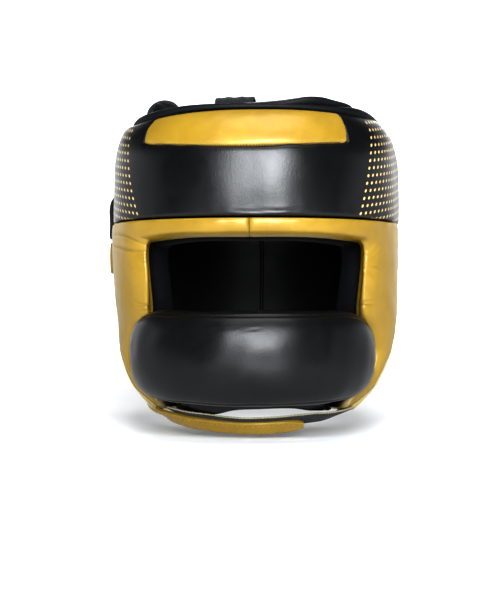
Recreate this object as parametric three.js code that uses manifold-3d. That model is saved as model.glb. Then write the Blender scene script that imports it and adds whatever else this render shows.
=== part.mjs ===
// Boxing headgear with a padded face bar, in millimetres, +Z up, face towards -Y.
// The origin is the point under the crown where the top of the head seats.
// Left and right are the wearer's: the wearer's left is +X.
//
// Every pad is placed in padding space: an angle round the head (0 at the front, positive to the
// wearer's left), a girth (the way down from the vertex) and a layer (0 on the head, 1 on the outer form).
import * as THREE from 'three';
import Module from 'manifold-3d';

const wasm = await Module();
wasm.setup();

// Driving dimensions
const SQUARENESS = 2.35; // exponent of the rounded horizontal sections
const SEAM_GAP = 0.6; // clear gap between neighbouring pads
const SEAM_GIRTH = 131; // the seam between the black upper band and the gold face pads
const BAND_TOP_GIRTH = 72; // top edge of the upper band
const BAND_END_ANGLE = 106; // where the upper band meets the back pads
const LINING_LAYER = 0.43; // the lining fills the padding up to this layer
const FREE_EDGE = 0.14; // share of a pad's thickness left at a rolled free edge
const SEAM_EDGE = 0.86; // the same at an edge sewn to a neighbour
const INSERT_DEPTH_LAYER = 0.9; // floor of the recess that holds the forehead insert
const BAR_HEIGHT = 64;
const BAR_THICKNESS = 38;
const BAR_END_THICKNESS = 19;
const BAR_END_RISE = 3; // the centre line climbs by this much to each end
const STRAP_THICKNESS = 3.6;
const LOOP_STRAP_THICKNESS = 2.4;
const LACE_DIAMETER = 3.2;
const LACE_GIRTH = 45; // ring of lace on the crown flaps
const KEEPER = { length: 28, reach: 14, height: 9.6, wall: 1.8, gap: 1.2 };
const BOW = { girth: 62, angle: -55, reach: 12.5, rise: 6.2, pitch: 3.6, gap: 0.4 };

// Horizontal sections of the head hollow (in...) and of the padding's outer form (out...).
// z is the height, half the half width, front and back the depths before and behind the ears.
const SECTIONS = [
  { girth: 14, inZ: -2, inHalf: 15, inFront: 18, inBack: 20, outZ: 2.5, outHalf: 17, outFront: 20, outBack: 22 },
  { girth: 32, inZ: -7, inHalf: 33, inFront: 39, inBack: 41, outZ: -1, outHalf: 37, outFront: 44, outBack: 46 },
  { girth: 50, inZ: -16, inHalf: 47, inFront: 57, inBack: 58, outZ: -5, outHalf: 60, outFront: 70, outBack: 70 },
  { girth: 64, inZ: -27, inHalf: 58, inFront: 71, inBack: 70, outZ: -8, outHalf: 80, outFront: 90, outBack: 87 },
  { girth: 76, inZ: -37, inHalf: 65, inFront: 80, inBack: 79, outZ: -14.5, outHalf: 94, outFront: 105, outBack: 99 },
  { girth: 100, inZ: -58, inHalf: 73.5, inFront: 91, inBack: 90, outZ: -42, outHalf: 106, outFront: 122, outBack: 113 },
  { girth: 131, inZ: -89, inHalf: 77, inFront: 96, inBack: 95, outZ: -89, outHalf: 107.5, outFront: 125, outBack: 119 },
  { girth: 160, inZ: -118, inHalf: 76, inFront: 96, inBack: 93, outZ: -118, outHalf: 107.5, outFront: 125, outBack: 117 },
  { girth: 200, inZ: -158, inHalf: 71, inFront: 92, inBack: 82, outZ: -159, outHalf: 104.5, outFront: 122, outBack: 106 },
  { girth: 225, inZ: -183, inHalf: 66, inFront: 88, inBack: 73, outZ: -184, outHalf: 103, outFront: 118, outBack: 97 },
  { girth: 245, inZ: -203, inHalf: 60, inFront: 83, inBack: 64, outZ: -205, outHalf: 97, outFront: 111, outBack: 88 },
  { girth: 270, inZ: -226, inHalf: 53, inFront: 74, inBack: 54, outZ: -226, outHalf: 85, outFront: 100, outBack: 78 },
];

// The gold face pad, from the brow's centre seam round the eye corner and down to the jaw.
// from is its outer edge, to its edge on the face opening.
const FACE_PAD = [
  { at: 0, fromAngle: 0.2, fromGirth: 131.4, toAngle: 0.2, toGirth: 143.5 },
  { at: 1, fromAngle: 22, fromGirth: 131.4, toAngle: 21, toGirth: 143.5 },
  { at: 2, fromAngle: 44, fromGirth: 131.4, toAngle: 40, toGirth: 145 },
  { at: 3, fromAngle: 63, fromGirth: 131.4, toAngle: 49, toGirth: 148.5 },
  { at: 4, fromAngle: 76, fromGirth: 133, toAngle: 51.5, toGirth: 158 },
  { at: 5, fromAngle: 76, fromGirth: 151, toAngle: 52, toGirth: 172 },
  { at: 6, fromAngle: 76, fromGirth: 172, toAngle: 52, toGirth: 189 },
  { at: 7, fromAngle: 76, fromGirth: 190, toAngle: 53.5, toGirth: 199 },
  { at: 8, fromAngle: 75.5, fromGirth: 206, toAngle: 58, toGirth: 209 },
  { at: 9, fromAngle: 73, fromGirth: 221, toAngle: 60.5, toGirth: 224 },
  { at: 10, fromAngle: 68, fromGirth: 237, toAngle: 57.5, toGirth: 239 },
  { at: 11, fromAngle: 62, fromGirth: 254, toAngle: 49.5, toGirth: 254 },
  { at: 12, fromAngle: 54, fromGirth: 267, toAngle: 41, toGirth: 264 },
];

// The lining behind the face pad reaches past it into the opening, by these amounts.
const LINING_REACH = { angle: 2.2, girth: 2.5 };

// The gold insert of the forehead, from one end to the other, with its top and bottom edges.
const INSERT_TURN = -2.5; // it sits a little to the wearer's right
const INSERT = [
  { at: 0, angle: -40, topGirth: 87, bottomGirth: 95 },
  { at: 1, angle: -38, topGirth: 79.5, bottomGirth: 95.5 },
  { at: 2, angle: -33, topGirth: 76, bottomGirth: 96.5 },
  { at: 3, angle: 0, topGirth: 75, bottomGirth: 99 },
  { at: 4, angle: 33, topGirth: 76, bottomGirth: 96.5 },
  { at: 5, angle: 38, topGirth: 79.5, bottomGirth: 95.5 },
  { at: 6, angle: 40, topGirth: 87, bottomGirth: 95 },
];

// Ear guard: a padded ring round the ear hole.
const EAR = { angle: 91.5, girth: 170, halfAngle: 13.6, halfGirth: 37, corner: 5 };
const EAR_HOLE = { angle: 89, girth: 176, halfAngle: 6, halfGirth: 15 };

// Crown flaps, each between two angles, from the upper band's top edge towards the vertex.
const FLAPS = [
  { name: 'crown_flap_front', start: -80, end: 80 },
  { name: 'crown_flap_left', start: 86, end: 123 },
  { name: 'crown_flap_back', start: 129, end: 231 },
  { name: 'crown_flap_right', start: 237, end: 274 },
];
const FLAP_TIP_GIRTH = 22;
const FLAP_END_GIRTH = 70;
const FLAP_LAYER = 0.55; // outer face of the thin inner part of the flaps
const FLAP_RIM = { from: 50, to: 63, rightLayer: 1, leftLayer: 1.2 }; // they swell to a padded rim

const BACK_PAD = { start: 107, end: 179.7, topGirth: 72, bottomGirth: 204, layer: 0.92, channelGirth: 140 };

// Closing straps across the back, from the wearer's left round to their right side, where each free
// end stands off. top and bottom are the girths of its edges, foot and crest its layers at that end.
const BACK_STRAPS = [
  { name: 'back_strap_upper', finish: 'black', top: 107, bottom: 139, start: 122, end: 264, foot: 1.04, crest: 1.42, roll: 0.5 },
  { name: 'back_strap_lower', finish: 'gold', top: 140.5, bottom: 167, start: 122, end: 263, foot: 1.04, crest: 1.33, roll: 0.12 },
];
const BACK_STRAP_LAYER = 0.13; // thickness of a strap where it lies flat
const BACK_STRAP_FREE = 0.7; // share of its length from which it rises to its free end

// Plan of the face bar's centre line on the wearer's left, from the middle to the end.
const BAR_SPINE = [
  { x: 0, y: -123 },
  { x: 27, y: -119.5 },
  { x: 53, y: -107 },
  { x: 71, y: -87 },
  { x: 79.5, y: -64 },
];
const BAR_Z = -184.5;

// Centre lines of the chin straps; tilt is the band's slope across its width.
const CHIN_STRAP = [
  { at: 0, x: -70, y: -54, z: -226, tilt: 14, width: 16 },
  { at: 1, x: -58, y: -74, z: -230.5, tilt: 20, width: 19 },
  { at: 2, x: -34, y: -87, z: -234, tilt: 22, width: 20 },
  { at: 3, x: 0, y: -92, z: -234.5, tilt: 22, width: 20 },
  { at: 4, x: 20, y: -90.5, z: -233.5, tilt: 22, width: 20 },
  { at: 5, x: 31, y: -88, z: -232.5, tilt: 22, width: 16 },
  { at: 6, x: 36, y: -86.5, z: -232, tilt: 22, width: 6 },
];
const CHIN_LOOP_STRAP = [
  { at: 0, x: 65, y: -59, z: -227.5, tilt: 18, width: 16 },
  { at: 1, x: 52, y: -76, z: -227.5, tilt: 22, width: 19 },
  { at: 2, x: 30, y: -86, z: -228.5, tilt: 22, width: 20 },
  { at: 3, x: 0, y: -90.5, z: -230.5, tilt: 22, width: 20 },
  { at: 4, x: -34, y: -85.5, z: -228.5, tilt: 22, width: 20 },
  { at: 5, x: -56, y: -72, z: -224.5, tilt: 18, width: 18 },
];

// Finishes
const goldLeather = new THREE.MeshStandardMaterial({ color: 0xc79a2e, roughness: 0.42, metalness: 0.35 });
const blackLeather = new THREE.MeshStandardMaterial({ color: 0x141416, roughness: 0.38, metalness: 0 });
const blackLining = new THREE.MeshStandardMaterial({ color: 0x0d0e12, roughness: 0.85, metalness: 0 });
const blackWebbing = new THREE.MeshStandardMaterial({ color: 0x111111, roughness: 0.9, metalness: 0 });

const headgear = new THREE.Group();

function addMesh(name, geometry, material, parent = headgear) {
  const mesh = new THREE.Mesh(geometry, material);
  mesh.name = name;
  parent.add(mesh);
  return mesh;
}

// A table of rows as a smooth function of its key column.
function smoothTable(rows, key) {
  const columns = Object.keys(rows[0]).filter((column) => column !== key);
  const keys = rows.map((row) => row[key]);
  const values = rows.flatMap((row) => columns.map((column) => row[column]));
  const curve = new THREE.CubicInterpolant(keys, values, columns.length);
  return (value) => {
    const found = curve.evaluate(THREE.MathUtils.clamp(value, keys[0], keys[keys.length - 1]));
    return Object.fromEntries(columns.map((column, k) => [column, found[k]]));
  };
}

const sectionAt = smoothTable(SECTIONS, 'girth');

function signedPower(value, power) {
  return Math.sign(value) * Math.abs(value) ** power;
}

// The point of padding space at an angle, girth and layer.
function padPoint(angle, girth, layer) {
  const section = sectionAt(girth);
  const turn = THREE.MathUtils.degToRad(angle);
  const across = signedPower(Math.sin(turn), 2 / SQUARENESS);
  const ahead = signedPower(Math.cos(turn), 2 / SQUARENESS);
  const blend = (low, high) => THREE.MathUtils.lerp(low, high, layer);
  const depth = ahead > 0
    ? blend(section.inFront, section.outFront)
    : blend(section.inBack, section.outBack);
  return new THREE.Vector3(
    blend(section.inHalf, section.outHalf) * across,
    -depth * ahead,
    blend(section.inZ, section.outZ),
  );
}

// Unit vectors on a layer: round the head, down the girth and outwards.
function padFrame(angle, girth, layer) {
  const step = 0.5;
  const round = padPoint(angle + step, girth, layer).sub(padPoint(angle - step, girth, layer)).normalize();
  const down = padPoint(angle, girth + step, layer).sub(padPoint(angle, girth - step, layer)).normalize();
  const out = new THREE.Vector3().crossVectors(down, round).normalize();
  return { round, down: new THREE.Vector3().crossVectors(round, out), out };
}

// Values from 0 to 1, closer together at both ends.
function easedSteps(count) {
  return Array.from({ length: count + 1 }, (_, k) => 0.5 - 0.5 * Math.cos((Math.PI * k) / count));
}

// Even steps from 0 to 1, with one more close to each end.
function endedSteps(count) {
  const close = 0.12 / count;
  const even = Array.from({ length: count - 1 }, (_, k) => (k + 1) / count);
  return [0, close, ...even, 1 - close, 1];
}

// Height of a quarter-round roll at a share of the width from its edge.
function rolled(share, roll) {
  const rest = 1 - Math.min(share / roll, 1);
  return Math.sqrt(1 - rest * rest);
}

// A closed body through rings of points. Point j of a ring faces point count - 1 - j, so the end
// rings are capped by strips; a closed loft joins its last ring to its first.
function loft(rings, closed = false) {
  const count = rings[0].length;
  const index = [];
  const quad = (a, b, c, d) => index.push(a, b, c, a, c, d);
  const at = (ring, j) => (ring % rings.length) * count + (j % count);
  const spans = closed ? rings.length : rings.length - 1;
  for (let i = 0; i < spans; i += 1) {
    for (let j = 0; j < count; j += 1) {
      quad(at(i, j), at(i + 1, j), at(i + 1, j + 1), at(i, j + 1));
    }
  }
  for (let j = 0; !closed && j < count / 2 - 1; j += 1) {
    const strip = (ring) => [at(ring, j), at(ring, j + 1), at(ring, count - 2 - j), at(ring, count - 1 - j)];
    quad(...strip(0));
    quad(...strip(rings.length - 1).reverse());
  }
  const geometry = new THREE.BufferGeometry();
  const points = rings.flat();
  geometry.setAttribute('position', new THREE.Float32BufferAttribute(points.flatMap((p) => p.toArray()), 3));
  geometry.setIndex(facingOut(points, index));
  geometry.computeVertexNormals();
  return geometry;
}

// The triangles, turned round if they enclose a negative volume.
function facingOut(points, index) {
  let volume = 0;
  for (let k = 0; k < index.length; k += 3) {
    const [a, b, c] = [points[index[k]], points[index[k + 1]], points[index[k + 2]]];
    volume += a.dot(new THREE.Vector3().crossVectors(b, c));
  }
  return volume < 0 ? index.slice().reverse() : index;
}

// A pad lofted through stations. stationAt(share) gives fromAngle, fromGirth, toAngle, toGirth, low and
// high. Each edge rolls over by a share of the width down to its floor, and layerAt shapes the outer face.
function pad({ stationAt, along, across, from, to, ends, layerAt = () => 1 }) {
  const edge = (share, { roll, floor }) => floor + (1 - floor) * rolled(share, roll);
  const rings = endedSteps(along).map((share) => {
    const s = stationAt(share);
    const endRoll = edge(Math.min(share, 1 - share), ends);
    const outer = [];
    const inner = [];
    for (const t of easedSteps(across)) {
      const angle = THREE.MathUtils.lerp(s.fromAngle, s.toAngle, t);
      const girth = THREE.MathUtils.lerp(s.fromGirth, s.toGirth, t);
      const full = endRoll * edge(t, from) * edge(1 - t, to) * layerAt(angle, girth);
      outer.push(padPoint(angle, girth, s.low + (s.high - s.low) * full));
      inner.push(padPoint(angle, girth, s.low));
    }
    return [...outer, ...inner.reverse()];
  });
  return loft(rings);
}

const freeEdge = (roll) => ({ roll, floor: FREE_EDGE });
const seamEdge = (roll) => ({ roll, floor: SEAM_EDGE });

// Stations of a patch between two angles and two girths.
function patch({ start, end, top, bottom, low, high }) {
  return (share) => {
    const angle = THREE.MathUtils.lerp(start, end, share);
    return { fromAngle: angle, fromGirth: top, toAngle: angle, toGirth: bottom, low, high };
  };
}

// A solid for joining and cutting, and back again.
function toSolid(geometry) {
  return new wasm.Manifold(new wasm.Mesh({
    numProp: 3,
    vertProperties: new Float32Array(geometry.attributes.position.array),
    triVerts: new Uint32Array(geometry.index.array),
  }));
}

function toGeometry(solid) {
  const mesh = solid.getMesh();
  const geometry = new THREE.BufferGeometry();
  geometry.setAttribute('position', new THREE.BufferAttribute(new Float32Array(mesh.vertProperties), 3));
  geometry.setIndex(new THREE.BufferAttribute(new Uint32Array(mesh.triVerts), 1));
  geometry.computeVertexNormals();
  return geometry;
}

// Upper band: the black forehead pad with its gold insert let into a recess
function insertStations(grow, low, high) {
  const rowAt = smoothTable(INSERT, 'at');
  const last = INSERT.length - 1;
  return (share) => {
    const row = rowAt(share * last);
    const wide = grow * Math.sign(row.angle) * (Math.abs(row.angle) > INSERT[last].angle - 1 ? 0.6 : 0);
    const angle = row.angle + wide + INSERT_TURN;
    return {
      fromAngle: angle,
      fromGirth: row.topGirth - grow,
      toAngle: angle,
      toGirth: row.bottomGirth + grow,
      low,
      high,
    };
  };
}

function addUpperBand() {
  const band = pad({
    stationAt: patch({
      start: -BAND_END_ANGLE, end: BAND_END_ANGLE, top: BAND_TOP_GIRTH, bottom: SEAM_GIRTH - SEAM_GAP, low: 0, high: 1,
    }),
    along: 30, across: 9, from: { roll: 0.22, floor: 0.62 }, to: seamEdge(0.08), ends: seamEdge(0.04),
  });
  const cutter = pad({
    stationAt: insertStations(SEAM_GAP, INSERT_DEPTH_LAYER, 1.4),
    along: 15, across: 3, from: seamEdge(0.01), to: seamEdge(0.01), ends: seamEdge(0.01),
  });
  addMesh('forehead_pad', toGeometry(toSolid(band).subtract(toSolid(cutter))), blackLeather);
  const insert = pad({
    stationAt: insertStations(0, INSERT_DEPTH_LAYER + 0.02, 1.02),
    along: 15, across: 5, from: { roll: 0.3, floor: 0.5 }, to: { roll: 0.12, floor: 0.5 }, ends: { roll: 0.06, floor: 0.5 },
  });
  addMesh('forehead_insert', insert, goldLeather);
}

// Face pads and their linings
function addFacePads() {
  const rowAt = smoothTable(FACE_PAD, 'at');
  const last = FACE_PAD.length - 1;
  for (const [side, sign] of [['left', 1], ['right', -1]]) {
    const stations = (low, high, reach) => (share) => {
      const row = rowAt(share * last);
      return {
        fromAngle: sign * row.fromAngle,
        fromGirth: row.fromGirth,
        toAngle: sign * Math.max(row.toAngle - (share > 0.2 ? reach.angle : 0), 0.2),
        toGirth: row.toGirth + (share < 0.4 ? reach.girth : 0),
        low,
        high,
      };
    };
    addMesh(`face_pad_${side}`, pad({
      stationAt: stations(LINING_LAYER + 0.02, 1, { angle: 0, girth: 0 }),
      along: 23, across: 6, from: seamEdge(0.06), to: freeEdge(0.36), ends: seamEdge(0.02),
    }), goldLeather);
    addMesh(`lining_${side}`, pad({
      stationAt: stations(0, LINING_LAYER, LINING_REACH),
      along: 22, across: 4, from: seamEdge(0.05), to: freeEdge(0.2), ends: seamEdge(0.02),
    }), blackLining);
  }
}

// Ear guards: a rounded block with a hole, lofted round the hole
function addEarGuards() {
  const steps = 22;
  for (const [side, sign] of [['left', 1], ['right', -1]]) {
    const rings = Array.from({ length: steps }, (_, k) => {
      const turn = (2 * Math.PI * k) / steps;
      const [s, c] = [Math.sin(turn), Math.cos(turn)];
      const corner = (Math.abs(s) ** EAR.corner + Math.abs(c) ** EAR.corner) ** (-1 / EAR.corner);
      const outer = [];
      const inner = [];
      for (const t of easedSteps(4)) {
        const blend = (hole, rim) => THREE.MathUtils.lerp(hole, rim, t);
        const angle = blend(EAR_HOLE.angle + EAR_HOLE.halfAngle * s, EAR.angle + EAR.halfAngle * corner * s);
        const girth = blend(EAR_HOLE.girth + EAR_HOLE.halfGirth * c, EAR.girth + EAR.halfGirth * corner * c);
        const inside = FREE_EDGE + (1 - FREE_EDGE) * rolled(t, 0.35);
        const full = inside * (SEAM_EDGE + (1 - SEAM_EDGE) * rolled(1 - t, 0.3));
        outer.push(padPoint(sign * angle, girth, full));
        inner.push(padPoint(sign * angle, girth, 0));
      }
      return [...outer, ...inner.reverse()];
    });
    addMesh(`ear_guard_${side}`, loft(rings, true), blackLeather);
  }
}

// Crown flaps
function flapLayer(angle, girth) {
  const side = THREE.MathUtils.smoothstep(Math.sin(THREE.MathUtils.degToRad(angle)), -0.15, 0.3);
  const rim = THREE.MathUtils.lerp(FLAP_RIM.rightLayer, FLAP_RIM.leftLayer, side);
  return THREE.MathUtils.lerp(FLAP_LAYER, rim, THREE.MathUtils.smoothstep(girth, FLAP_RIM.from, FLAP_RIM.to));
}

function addCrown() {
  for (const flap of FLAPS) {
    addMesh(flap.name, pad({
      stationAt: patch({
        start: flap.start, end: flap.end, top: FLAP_TIP_GIRTH, bottom: FLAP_END_GIRTH, low: 0, high: 1,
      }),
      along: Math.round((flap.end - flap.start) / 9),
      across: 7,
      from: freeEdge(0.1),
      to: { roll: 0.1, floor: 0.7 },
      ends: { roll: 0.05, floor: 0.6 },
      layerAt: flapLayer,
    }), blackLeather);
  }
}

// Back pads with a sewn channel across them
function backLayer(angle, girth) {
  const away = (girth - BACK_PAD.channelGirth) / 6;
  return 1 - 0.22 * Math.exp(-away * away);
}

function addBackPads() {
  for (const [side, sign] of [['left', 1], ['right', -1]]) {
    const stationAt = patch({
      start: sign * BACK_PAD.start,
      end: sign * BACK_PAD.end,
      top: BACK_PAD.topGirth,
      bottom: BACK_PAD.bottomGirth,
      low: 0,
      high: BACK_PAD.layer,
    });
    addMesh(`back_pad_${side}`, pad({
      stationAt,
      along: 9,
      across: 11,
      from: { roll: 0.12, floor: 0.62 },
      to: freeEdge(0.12),
      ends: { roll: 0.06, floor: 0.8 },
      layerAt: backLayer,
    }), blackLeather);
  }
}

// Closing straps, lying on the back pads and standing a little off at their free end
function addBackStraps() {
  const finishes = { black: blackLeather, gold: goldLeather };
  for (const strap of BACK_STRAPS) {
    const flat = BACK_PAD.layer + 0.02;
    const stationAt = (share) => {
      const angle = THREE.MathUtils.lerp(strap.start, strap.end, share);
      const rise = THREE.MathUtils.smoothstep(share, BACK_STRAP_FREE, 0.97);
      return {
        fromAngle: angle,
        fromGirth: strap.top,
        toAngle: angle,
        toGirth: strap.bottom,
        low: THREE.MathUtils.lerp(flat, strap.foot, rise),
        high: THREE.MathUtils.lerp(flat + BACK_STRAP_LAYER, strap.crest, rise),
      };
    };
    addMesh(strap.name, pad({
      stationAt, along: 19, across: 4, from: freeEdge(strap.roll), to: freeEdge(strap.roll), ends: freeEdge(0.02),
    }), finishes[strap.finish]);
  }
}

// Face bar: rounded sections along a curved centre line, full height almost to the ends
function addFaceBar() {
  const points = [...BAR_SPINE.slice(1).reverse().map((p) => ({ x: -p.x, y: p.y })), ...BAR_SPINE];
  const spine = new THREE.CatmullRomCurve3(points.map((p) => new THREE.Vector3(p.x, p.y, BAR_Z)));
  const corners = 16;
  const rings = easedSteps(26).map((share) => {
    const u = Math.min(Math.abs(2 * share - 1), 0.993);
    const centre = spine.getPointAt(share);
    const along = spine.getTangentAt(share);
    const out = new THREE.Vector3(along.y, -along.x, 0).normalize();
    const height = (BAR_HEIGHT / 2) * Math.sqrt(1 - u ** 5);
    centre.z += BAR_END_RISE * u ** 2;
    const thick = THREE.MathUtils.lerp(BAR_THICKNESS, BAR_END_THICKNESS, u ** 2.5) / 2 * (1 - u ** 24) ** 0.5;
    return Array.from({ length: corners }, (_, j) => {
      const turn = (2 * Math.PI * (j + 0.5)) / corners;
      const across = signedPower(Math.cos(turn), 2 / SQUARENESS) * thick;
      const up = signedPower(Math.sin(turn), 2 / SQUARENESS) * height;
      return centre.clone().addScaledVector(out, across).add(new THREE.Vector3(0, 0, up));
    });
  });
  addMesh('face_bar', loft(rings), blackLeather);
}

// A flat band along a table of centre points, tilted about its run
function band(rows, thickness, along) {
  const rowAt = smoothTable(rows, 'at');
  const last = rows.length - 1;
  const rings = Array.from({ length: along + 1 }, (_, k) => {
    const row = rowAt((k / along) * last);
    const next = rowAt(Math.min((k / along) * last + 0.05, last));
    const before = rowAt(Math.max((k / along) * last - 0.05, 0));
    const run = new THREE.Vector3(next.x - before.x, next.y - before.y, next.z - before.z).normalize();
    const level = new THREE.Vector3(run.y, -run.x, 0).normalize().multiplyScalar(run.x > 0 ? 1 : -1);
    const lean = THREE.MathUtils.degToRad(row.tilt);
    const width = level.multiplyScalar(Math.cos(lean)).add(new THREE.Vector3(0, 0, Math.sin(lean)));
    width.addScaledVector(run, -width.dot(run)).normalize();
    const out = new THREE.Vector3().crossVectors(run, width);
    const centre = new THREE.Vector3(row.x, row.y, row.z);
    const corner = (w, t) => centre.clone()
      .addScaledVector(width, w * row.width / 2)
      .addScaledVector(out, t * thickness / 2);
    return [corner(-1, -1), corner(-0.4, -1), corner(0.4, -1), corner(1, -1),
      corner(1, 1), corner(0.4, 1), corner(-0.4, 1), corner(-1, 1)];
  });
  return loft(rings);
}

// Chin strap, its gold half over the black loop half
function addChinStraps() {
  addMesh('chin_strap', band(CHIN_STRAP, STRAP_THICKNESS, 22), goldLeather);
  addMesh('chin_strap_loop', band(CHIN_LOOP_STRAP, LOOP_STRAP_THICKNESS, 20), blackWebbing);
}

// A round cord along points
function cord(points, steps, sides) {
  const section = new THREE.Shape(Array.from({ length: sides }, (_, k) => new THREE.Vector2(
    LACE_DIAMETER / 2 * Math.cos((2 * Math.PI * k) / sides),
    LACE_DIAMETER / 2 * Math.sin((2 * Math.PI * k) / sides),
  )));
  const geometry = new THREE.ExtrudeGeometry(section, {
    steps,
    curveSegments: 1,
    bevelEnabled: false,
    extrudePath: new THREE.CatmullRomCurve3(points),
  });
  return geometry;
}

// Drawn lace round the crown, its keepers and its doubled loop
function lacePoint(angle, girth, lift) {
  return padPoint(angle, girth, FLAP_LAYER).addScaledVector(padFrame(angle, girth, FLAP_LAYER).out, lift);
}

function addLace() {
  const lift = LACE_DIAMETER / 2 + 0.6;
  const points = [lacePoint(BOW.angle + 6, LACE_GIRTH + 3, lift + 1)];
  for (let angle = BOW.angle + 14; angle <= BOW.angle + 346; angle += 12) {
    points.push(lacePoint(angle, LACE_GIRTH, lift));
  }
  points.push(lacePoint(BOW.angle - 6, LACE_GIRTH + 3, lift + 1));
  addMesh('crown_lace', cord(points, 46, 6), blackWebbing);
  addLaceBow();
  const places = { front: -12, left: 94, back: 180, right: -94 };
  for (const [name, angle] of Object.entries(places)) {
    addKeeper(`lace_keeper_${name}`, angle);
  }
}

// Two upright arches of lace, one inside the other, joined at one foot
function addLaceBow() {
  const { round, out } = padFrame(BOW.angle, BOW.girth, 1);
  const layer = flapLayer(BOW.angle, BOW.girth);
  const foot = padPoint(BOW.angle, BOW.girth, layer).addScaledVector(out, BOW.gap + LACE_DIAMETER / 2);
  const up = new THREE.Vector3(0, 0, 1);
  const at = (inset, turn) => foot.clone()
    .addScaledVector(round, (BOW.reach - inset) * Math.cos(turn))
    .addScaledVector(up, (BOW.rise - inset) * Math.sin(turn));
  const arch = (inset, from, to) => Array.from({ length: 7 }, (_, k) => at(inset, from + ((to - from) * k) / 6));
  const outer = arch(0, 0, Math.PI);
  const inner = arch(BOW.pitch, Math.PI, 0);
  addMesh('lace_bow', cord([...outer, ...inner], 26, 6), blackWebbing);
}

// A webbing tunnel over the lace
function addKeeper(name, angle) {
  const { reach, height, wall, length } = KEEPER;
  const profile = new THREE.Shape();
  profile.moveTo(-reach / 2, 0);
  profile.lineTo(-reach / 2 + wall, 0);
  profile.absellipse(0, 0, reach / 2 - wall, height - wall, Math.PI, 0, true, 0);
  profile.lineTo(reach / 2, 0);
  profile.absellipse(0, 0, reach / 2, height, 0, Math.PI, false, 0);
  const geometry = new THREE.ExtrudeGeometry(profile, {
    depth: length, steps: 1, curveSegments: 7, bevelEnabled: false,
  });
  geometry.translate(0, 0, -length / 2);
  const { round, down, out } = padFrame(angle, LACE_GIRTH, FLAP_LAYER);
  const stand = new THREE.Group();
  stand.applyMatrix4(new THREE.Matrix4().makeBasis(down.clone().negate(), out, round.clone()));
  stand.position.copy(padPoint(angle, LACE_GIRTH, FLAP_LAYER).addScaledVector(out, KEEPER.gap));
  headgear.add(stand);
  addMesh(name, geometry, blackWebbing, stand);
}

addUpperBand();
addFacePads();
addEarGuards();
addCrown();
addBackPads();
addBackStraps();
addFaceBar();
addChinStraps();
addLace();

export default headgear;
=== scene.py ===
"""Looks of a padded boxing headgear with a face bar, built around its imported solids.

The pads are surfaces in padding space: an angle round the head in degrees (0 at the front, positive to the
wearer's left), a girth in millimetres (the way down from the vertex) and a layer (0 on the head, 1 on the
outer form). Shapes are worked out in millimetres and put into the scene in metres.
"""

from __future__ import annotations

import logging
from dataclasses import dataclass, field, replace
from enum import Enum
from typing import Any, Callable, Sequence

import bpy
import numpy as np
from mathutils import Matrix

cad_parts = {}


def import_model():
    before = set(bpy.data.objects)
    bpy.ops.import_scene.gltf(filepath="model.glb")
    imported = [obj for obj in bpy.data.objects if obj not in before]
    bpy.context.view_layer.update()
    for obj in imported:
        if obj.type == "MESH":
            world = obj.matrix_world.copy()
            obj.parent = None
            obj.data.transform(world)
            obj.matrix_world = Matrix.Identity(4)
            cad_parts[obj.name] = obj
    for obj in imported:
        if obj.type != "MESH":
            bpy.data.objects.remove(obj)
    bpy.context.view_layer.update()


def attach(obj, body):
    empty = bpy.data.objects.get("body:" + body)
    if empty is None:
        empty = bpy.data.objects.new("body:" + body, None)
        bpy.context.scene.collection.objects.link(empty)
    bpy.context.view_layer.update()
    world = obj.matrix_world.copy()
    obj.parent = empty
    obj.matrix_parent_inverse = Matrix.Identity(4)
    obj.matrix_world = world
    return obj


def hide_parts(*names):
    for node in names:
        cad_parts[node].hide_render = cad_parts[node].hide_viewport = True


log = logging.getLogger("headgear")
Array = np.ndarray
Colour = tuple[float, float, float]
Pair = tuple[float, float]
Numbers = Array | float
MM = 0.001
MM_PER_DEGREE = 2.0
BODY = "root"
SIDES = (("left", 1.0), ("right", -1.0))
UP = np.array([0.0, 0.0, 1.0])
ACROSS_EASE = 0.9
SEAM_FADE = (0.3, 2.6)
FAR_FROM_EDGES = 30.0
CORD_SIDES = 14


def lerp(low: Any, high: Any, share: Any) -> Any:
    """The value at a share of the way from low to high."""
    return low + (high - low) * share


def smoothstep(value: Array, low: float, high: float) -> Array:
    """0 below low, 1 above high, and 3t^2 - 2t^3 between them."""
    t = np.clip((value - low) / (high - low), 0.0, 1.0)
    return t * t * (3.0 - 2.0 * t)


def bell(distance: Array, width: float) -> Array:
    """A Gauss bell of height 1 that falls to 1/e at a width."""
    return np.exp(-((distance / width) ** 2))


def signed_power(value: Array, power: float) -> Array:
    """The power of a value's size, with its sign kept."""
    return np.sign(value) * np.abs(value) ** power


def steps(count: int, ease: float = 0.0) -> Array:
    """Values from 0 to 1 that crowd towards both ends.

    Args:
        count: How many spaces lie between the values.
        ease: 0 for even steps, 1 for the steps of half a cosine wave.

    Returns:
        The count + 1 values.
    """
    even = np.linspace(0.0, 1.0, count + 1)
    return lerp(even, 0.5 - 0.5 * np.cos(np.pi * even), ease)


def unit(vectors: Array) -> Array:
    """Vectors of length 1 with the same directions."""
    return vectors / np.maximum(np.linalg.norm(vectors, axis=-1, keepdims=True), 1e-12)


def run_length(points: Array, axis: int) -> Array:
    """The way along one axis of a grid of points, from 0 at its first row.

    Args:
        points: The grid.
        axis: The axis to follow, 0 or 1.

    Returns:
        The way at each point.
    """
    ways = np.linalg.norm(np.diff(points, axis=axis), axis=-1)
    total = np.cumsum(ways, axis=axis)
    return np.concatenate([np.zeros_like(np.take(total, [0], axis=axis)), total], axis=axis)


def grid_normals(points: Array) -> Array:
    """Unit normals of a grid of points: the cross product of the slopes along its two axes."""
    return unit(np.cross(np.gradient(points, axis=0), np.gradient(points, axis=1)))


def uv_grid(u: Array, v: Array) -> Array:
    """The UV of a grid from numbers for its rows and its columns."""
    return np.stack(np.broadcast_arrays(u, v), axis=-1)


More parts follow.
